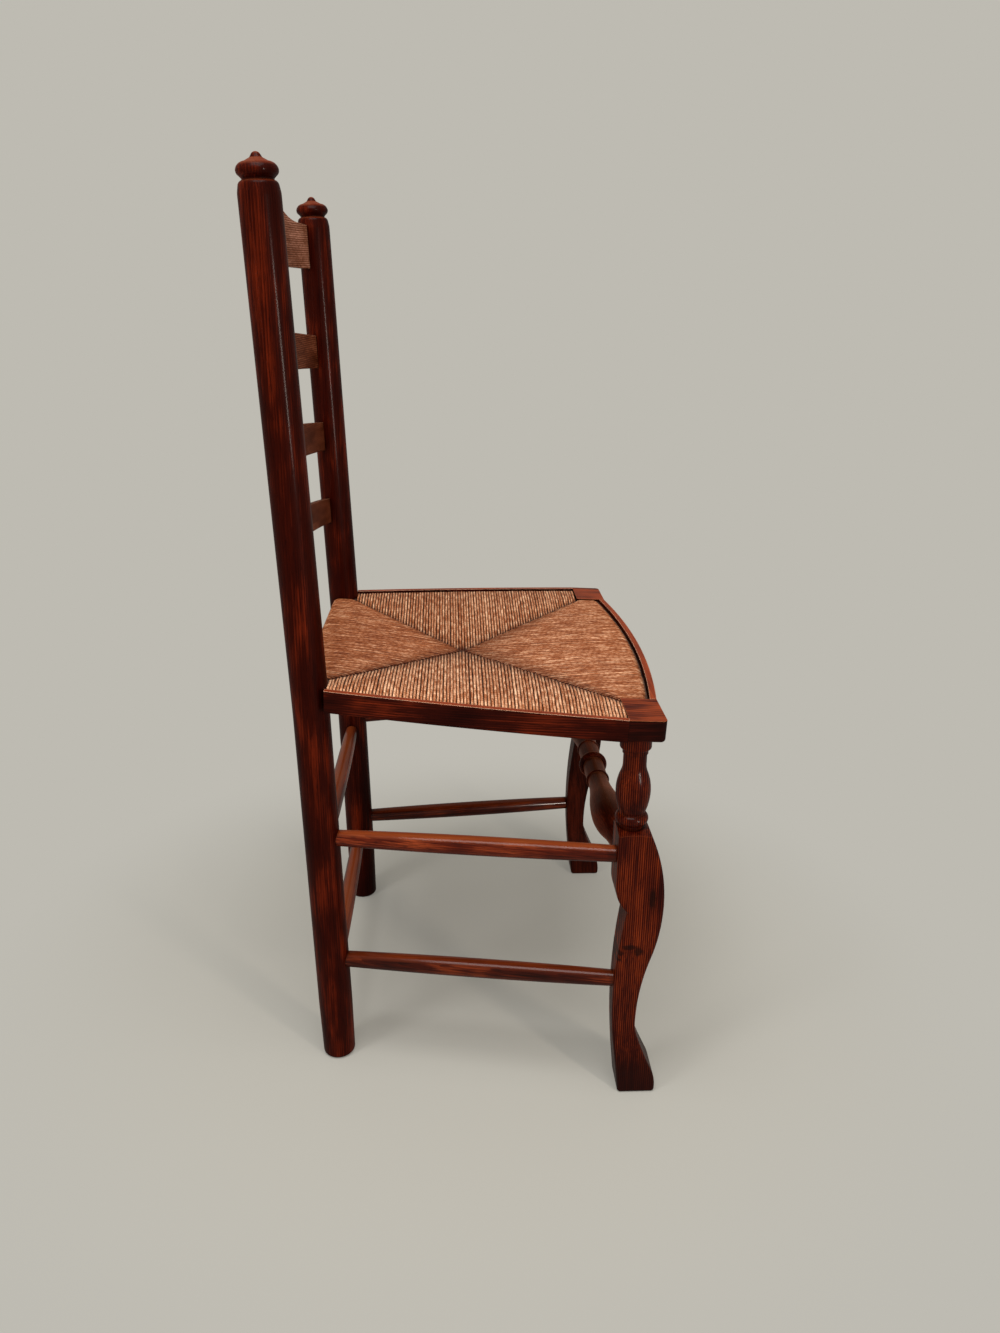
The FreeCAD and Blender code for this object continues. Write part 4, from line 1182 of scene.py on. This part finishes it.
@dataclass
class Studio:
    """Plain pale floor, soft lamps and the camera of the photograph. Sizes in metres."""

    # The backdrop's colour, how much of it the floor reflects and how much it glows near the
    # chair, and between which radii the floor fades into the backdrop.
    ground: str = "#bebbb2"
    floor_tint: float = 0.784
    floor_glow: float = 0.29
    floor_radius: float = 9.0
    fade_from: float = 0.27
    fade_to: float = 0.70
    ambient: float = 0.70

    # The lamps, and the point that they face.
    target: tuple[float, float, float] = (0.0, 0.0, 0.5)
    lamps: tuple[SoftBox, ...] = (
        SoftBox("overhead_box", (-0.72, 0.1, 2.4), (1.35, 1.2), 43.0),
        SoftBox("front_strip", (-1.64, -1.3, 0.75), (0.18, 0.55), 19.0, "#fff4e8"),
        SoftBox("rear_box", (-1.3, 1.5, 1.1), (0.5, 1.0), 16.0, glints=False))

    # The camera: its lens and sensor in mm, and how many degrees it looks down and is turned.
    camera_place: tuple[float, float, float] = (-1.1668, 0.00987, 0.8373)
    lens: float = 27.025
    sensor_high: float = 36.0
    pitch: float = 19.39
    yaw: float = -2.72
    roll: float = 0.59

    def seen_directly(self, tree: bpy.types.NodeTree) -> Socket:
        """Tells the rays that look at the backdrop from those that light the chair.

        Args:
            tree: the node tree that it goes into.

        Returns:
            1 for a camera, glossy or transmission ray, 0 for others.
        """
        path = add_node(tree, "ShaderNodeLightPath").outputs
        share = path["Is Camera Ray"]
        for kind in ("Is Glossy Ray", "Is Transmission Ray"):
            share = add_node(tree, "ShaderNodeMath", {0: share, 1: path[kind]},
                             operation="MAXIMUM").outputs[0]
        return share

    def floor(self) -> None:
        """Painted floor that keeps the chair's shadow and melts into the backdrop further out."""
        deselect()
        bpy.ops.mesh.primitive_circle_add(vertices=64, radius=self.floor_radius, fill_type="NGON")
        floor = bpy.context.object
        floor.name = "floor"
        material, tree, shader = new_material("painted_floor")
        node = partial(add_node, tree)
        place = node("ShaderNodeTexCoord").outputs["Object"]
        reach = node("ShaderNodeVectorMath", {0: place}, operation="LENGTH").outputs["Value"]
        fade = node("ShaderNodeMapRange", {
            "Value": reach, "From Min": self.fade_from, "From Max": self.fade_to,
            "To Min": self.floor_glow}, interpolation_type="SMOOTHSTEP").outputs[0]
        fade = node("ShaderNodeMath", {0: fade, 1: self.seen_directly(tree)},
                    operation="MULTIPLY").outputs[0]
        glow = node("ShaderNodeEmission", {"Color": self.ground}).outputs[0]
        reflected = (*(part * self.floor_tint for part in linear(self.ground)[:3]), 1.0)
        for key, value in {"Base Color": reflected, "Roughness": 1.0,
                           "Specular IOR Level": 0.0}.items():
            shader.inputs[key].default_value = value
        mixed = node("ShaderNodeMixShader", {0: fade, 1: shader.outputs[0], 2: glow}).outputs[0]
        output = next(n for n in tree.nodes if n.type == "OUTPUT_MATERIAL")
        tree.links.new(mixed, output.inputs["Surface"])
        dress(floor, material)

    def surroundings(self) -> None:
        """Plain backdrop and the room's even light."""
        world = bpy.data.worlds.new("room")
        bpy.context.scene.world = world
        world.use_nodes = True
        tree = world.node_tree
        tree.nodes.clear()
        strength = add_node(tree, "ShaderNodeMapRange", {
            "Value": self.seen_directly(tree), "To Min": self.ambient, "To Max": 1.0}).outputs[0]
        light = add_node(tree, "ShaderNodeBackground", {
            "Color": self.ground, "Strength": strength}).outputs[0]
        add_node(tree, "ShaderNodeOutputWorld", {"Surface": light})

    def camera(self) -> None:
        """Camera at the photograph's place, with its direction and lens."""
        yaw, pitch, roll = (math.radians(a) for a in (self.yaw, self.pitch, self.roll))
        level = Vector((math.cos(yaw), math.sin(yaw), 0.0))
        right = Vector((math.sin(yaw), -math.cos(yaw), 0.0))
        ahead = level * math.cos(pitch) - Vector((0, 0, 1)) * math.sin(pitch)
        up = Vector((0, 0, 1)) * math.cos(pitch) + level * math.sin(pitch)
        side = right * math.cos(roll) + up * math.sin(roll)
        top = up * math.cos(roll) - right * math.sin(roll)
        deselect()
        bpy.ops.object.camera_add(location=self.camera_place)
        camera = bpy.context.object
        camera.rotation_euler = Matrix((side, top, -ahead)).transposed().to_euler()
        camera.data.sensor_fit = "VERTICAL"
        camera.data.sensor_height = self.sensor_high
        camera.data.lens = self.lens
        camera.data.clip_start = 0.01
        bpy.context.scene.camera = camera

    def build(self) -> None:
        """Sets up floor, backdrop, lamps and camera."""
        self.floor()
        self.surroundings()
        for lamp in self.lamps:
            lamp.light(self.target)
        self.camera()
        bpy.context.scene.view_settings.view_transform = "Standard"


def main() -> None:
    """Dresses the frame, weaves the seat and sets the studio, in that order."""
    logging.basicConfig(level=logging.INFO, format="%(name)s: %(message)s")
    ChairFrame().build()
    RushSeat().build(TwistedRush().make(), RushStuffing().make())
    Studio().build()


if __name__ == "__main__":
    main()
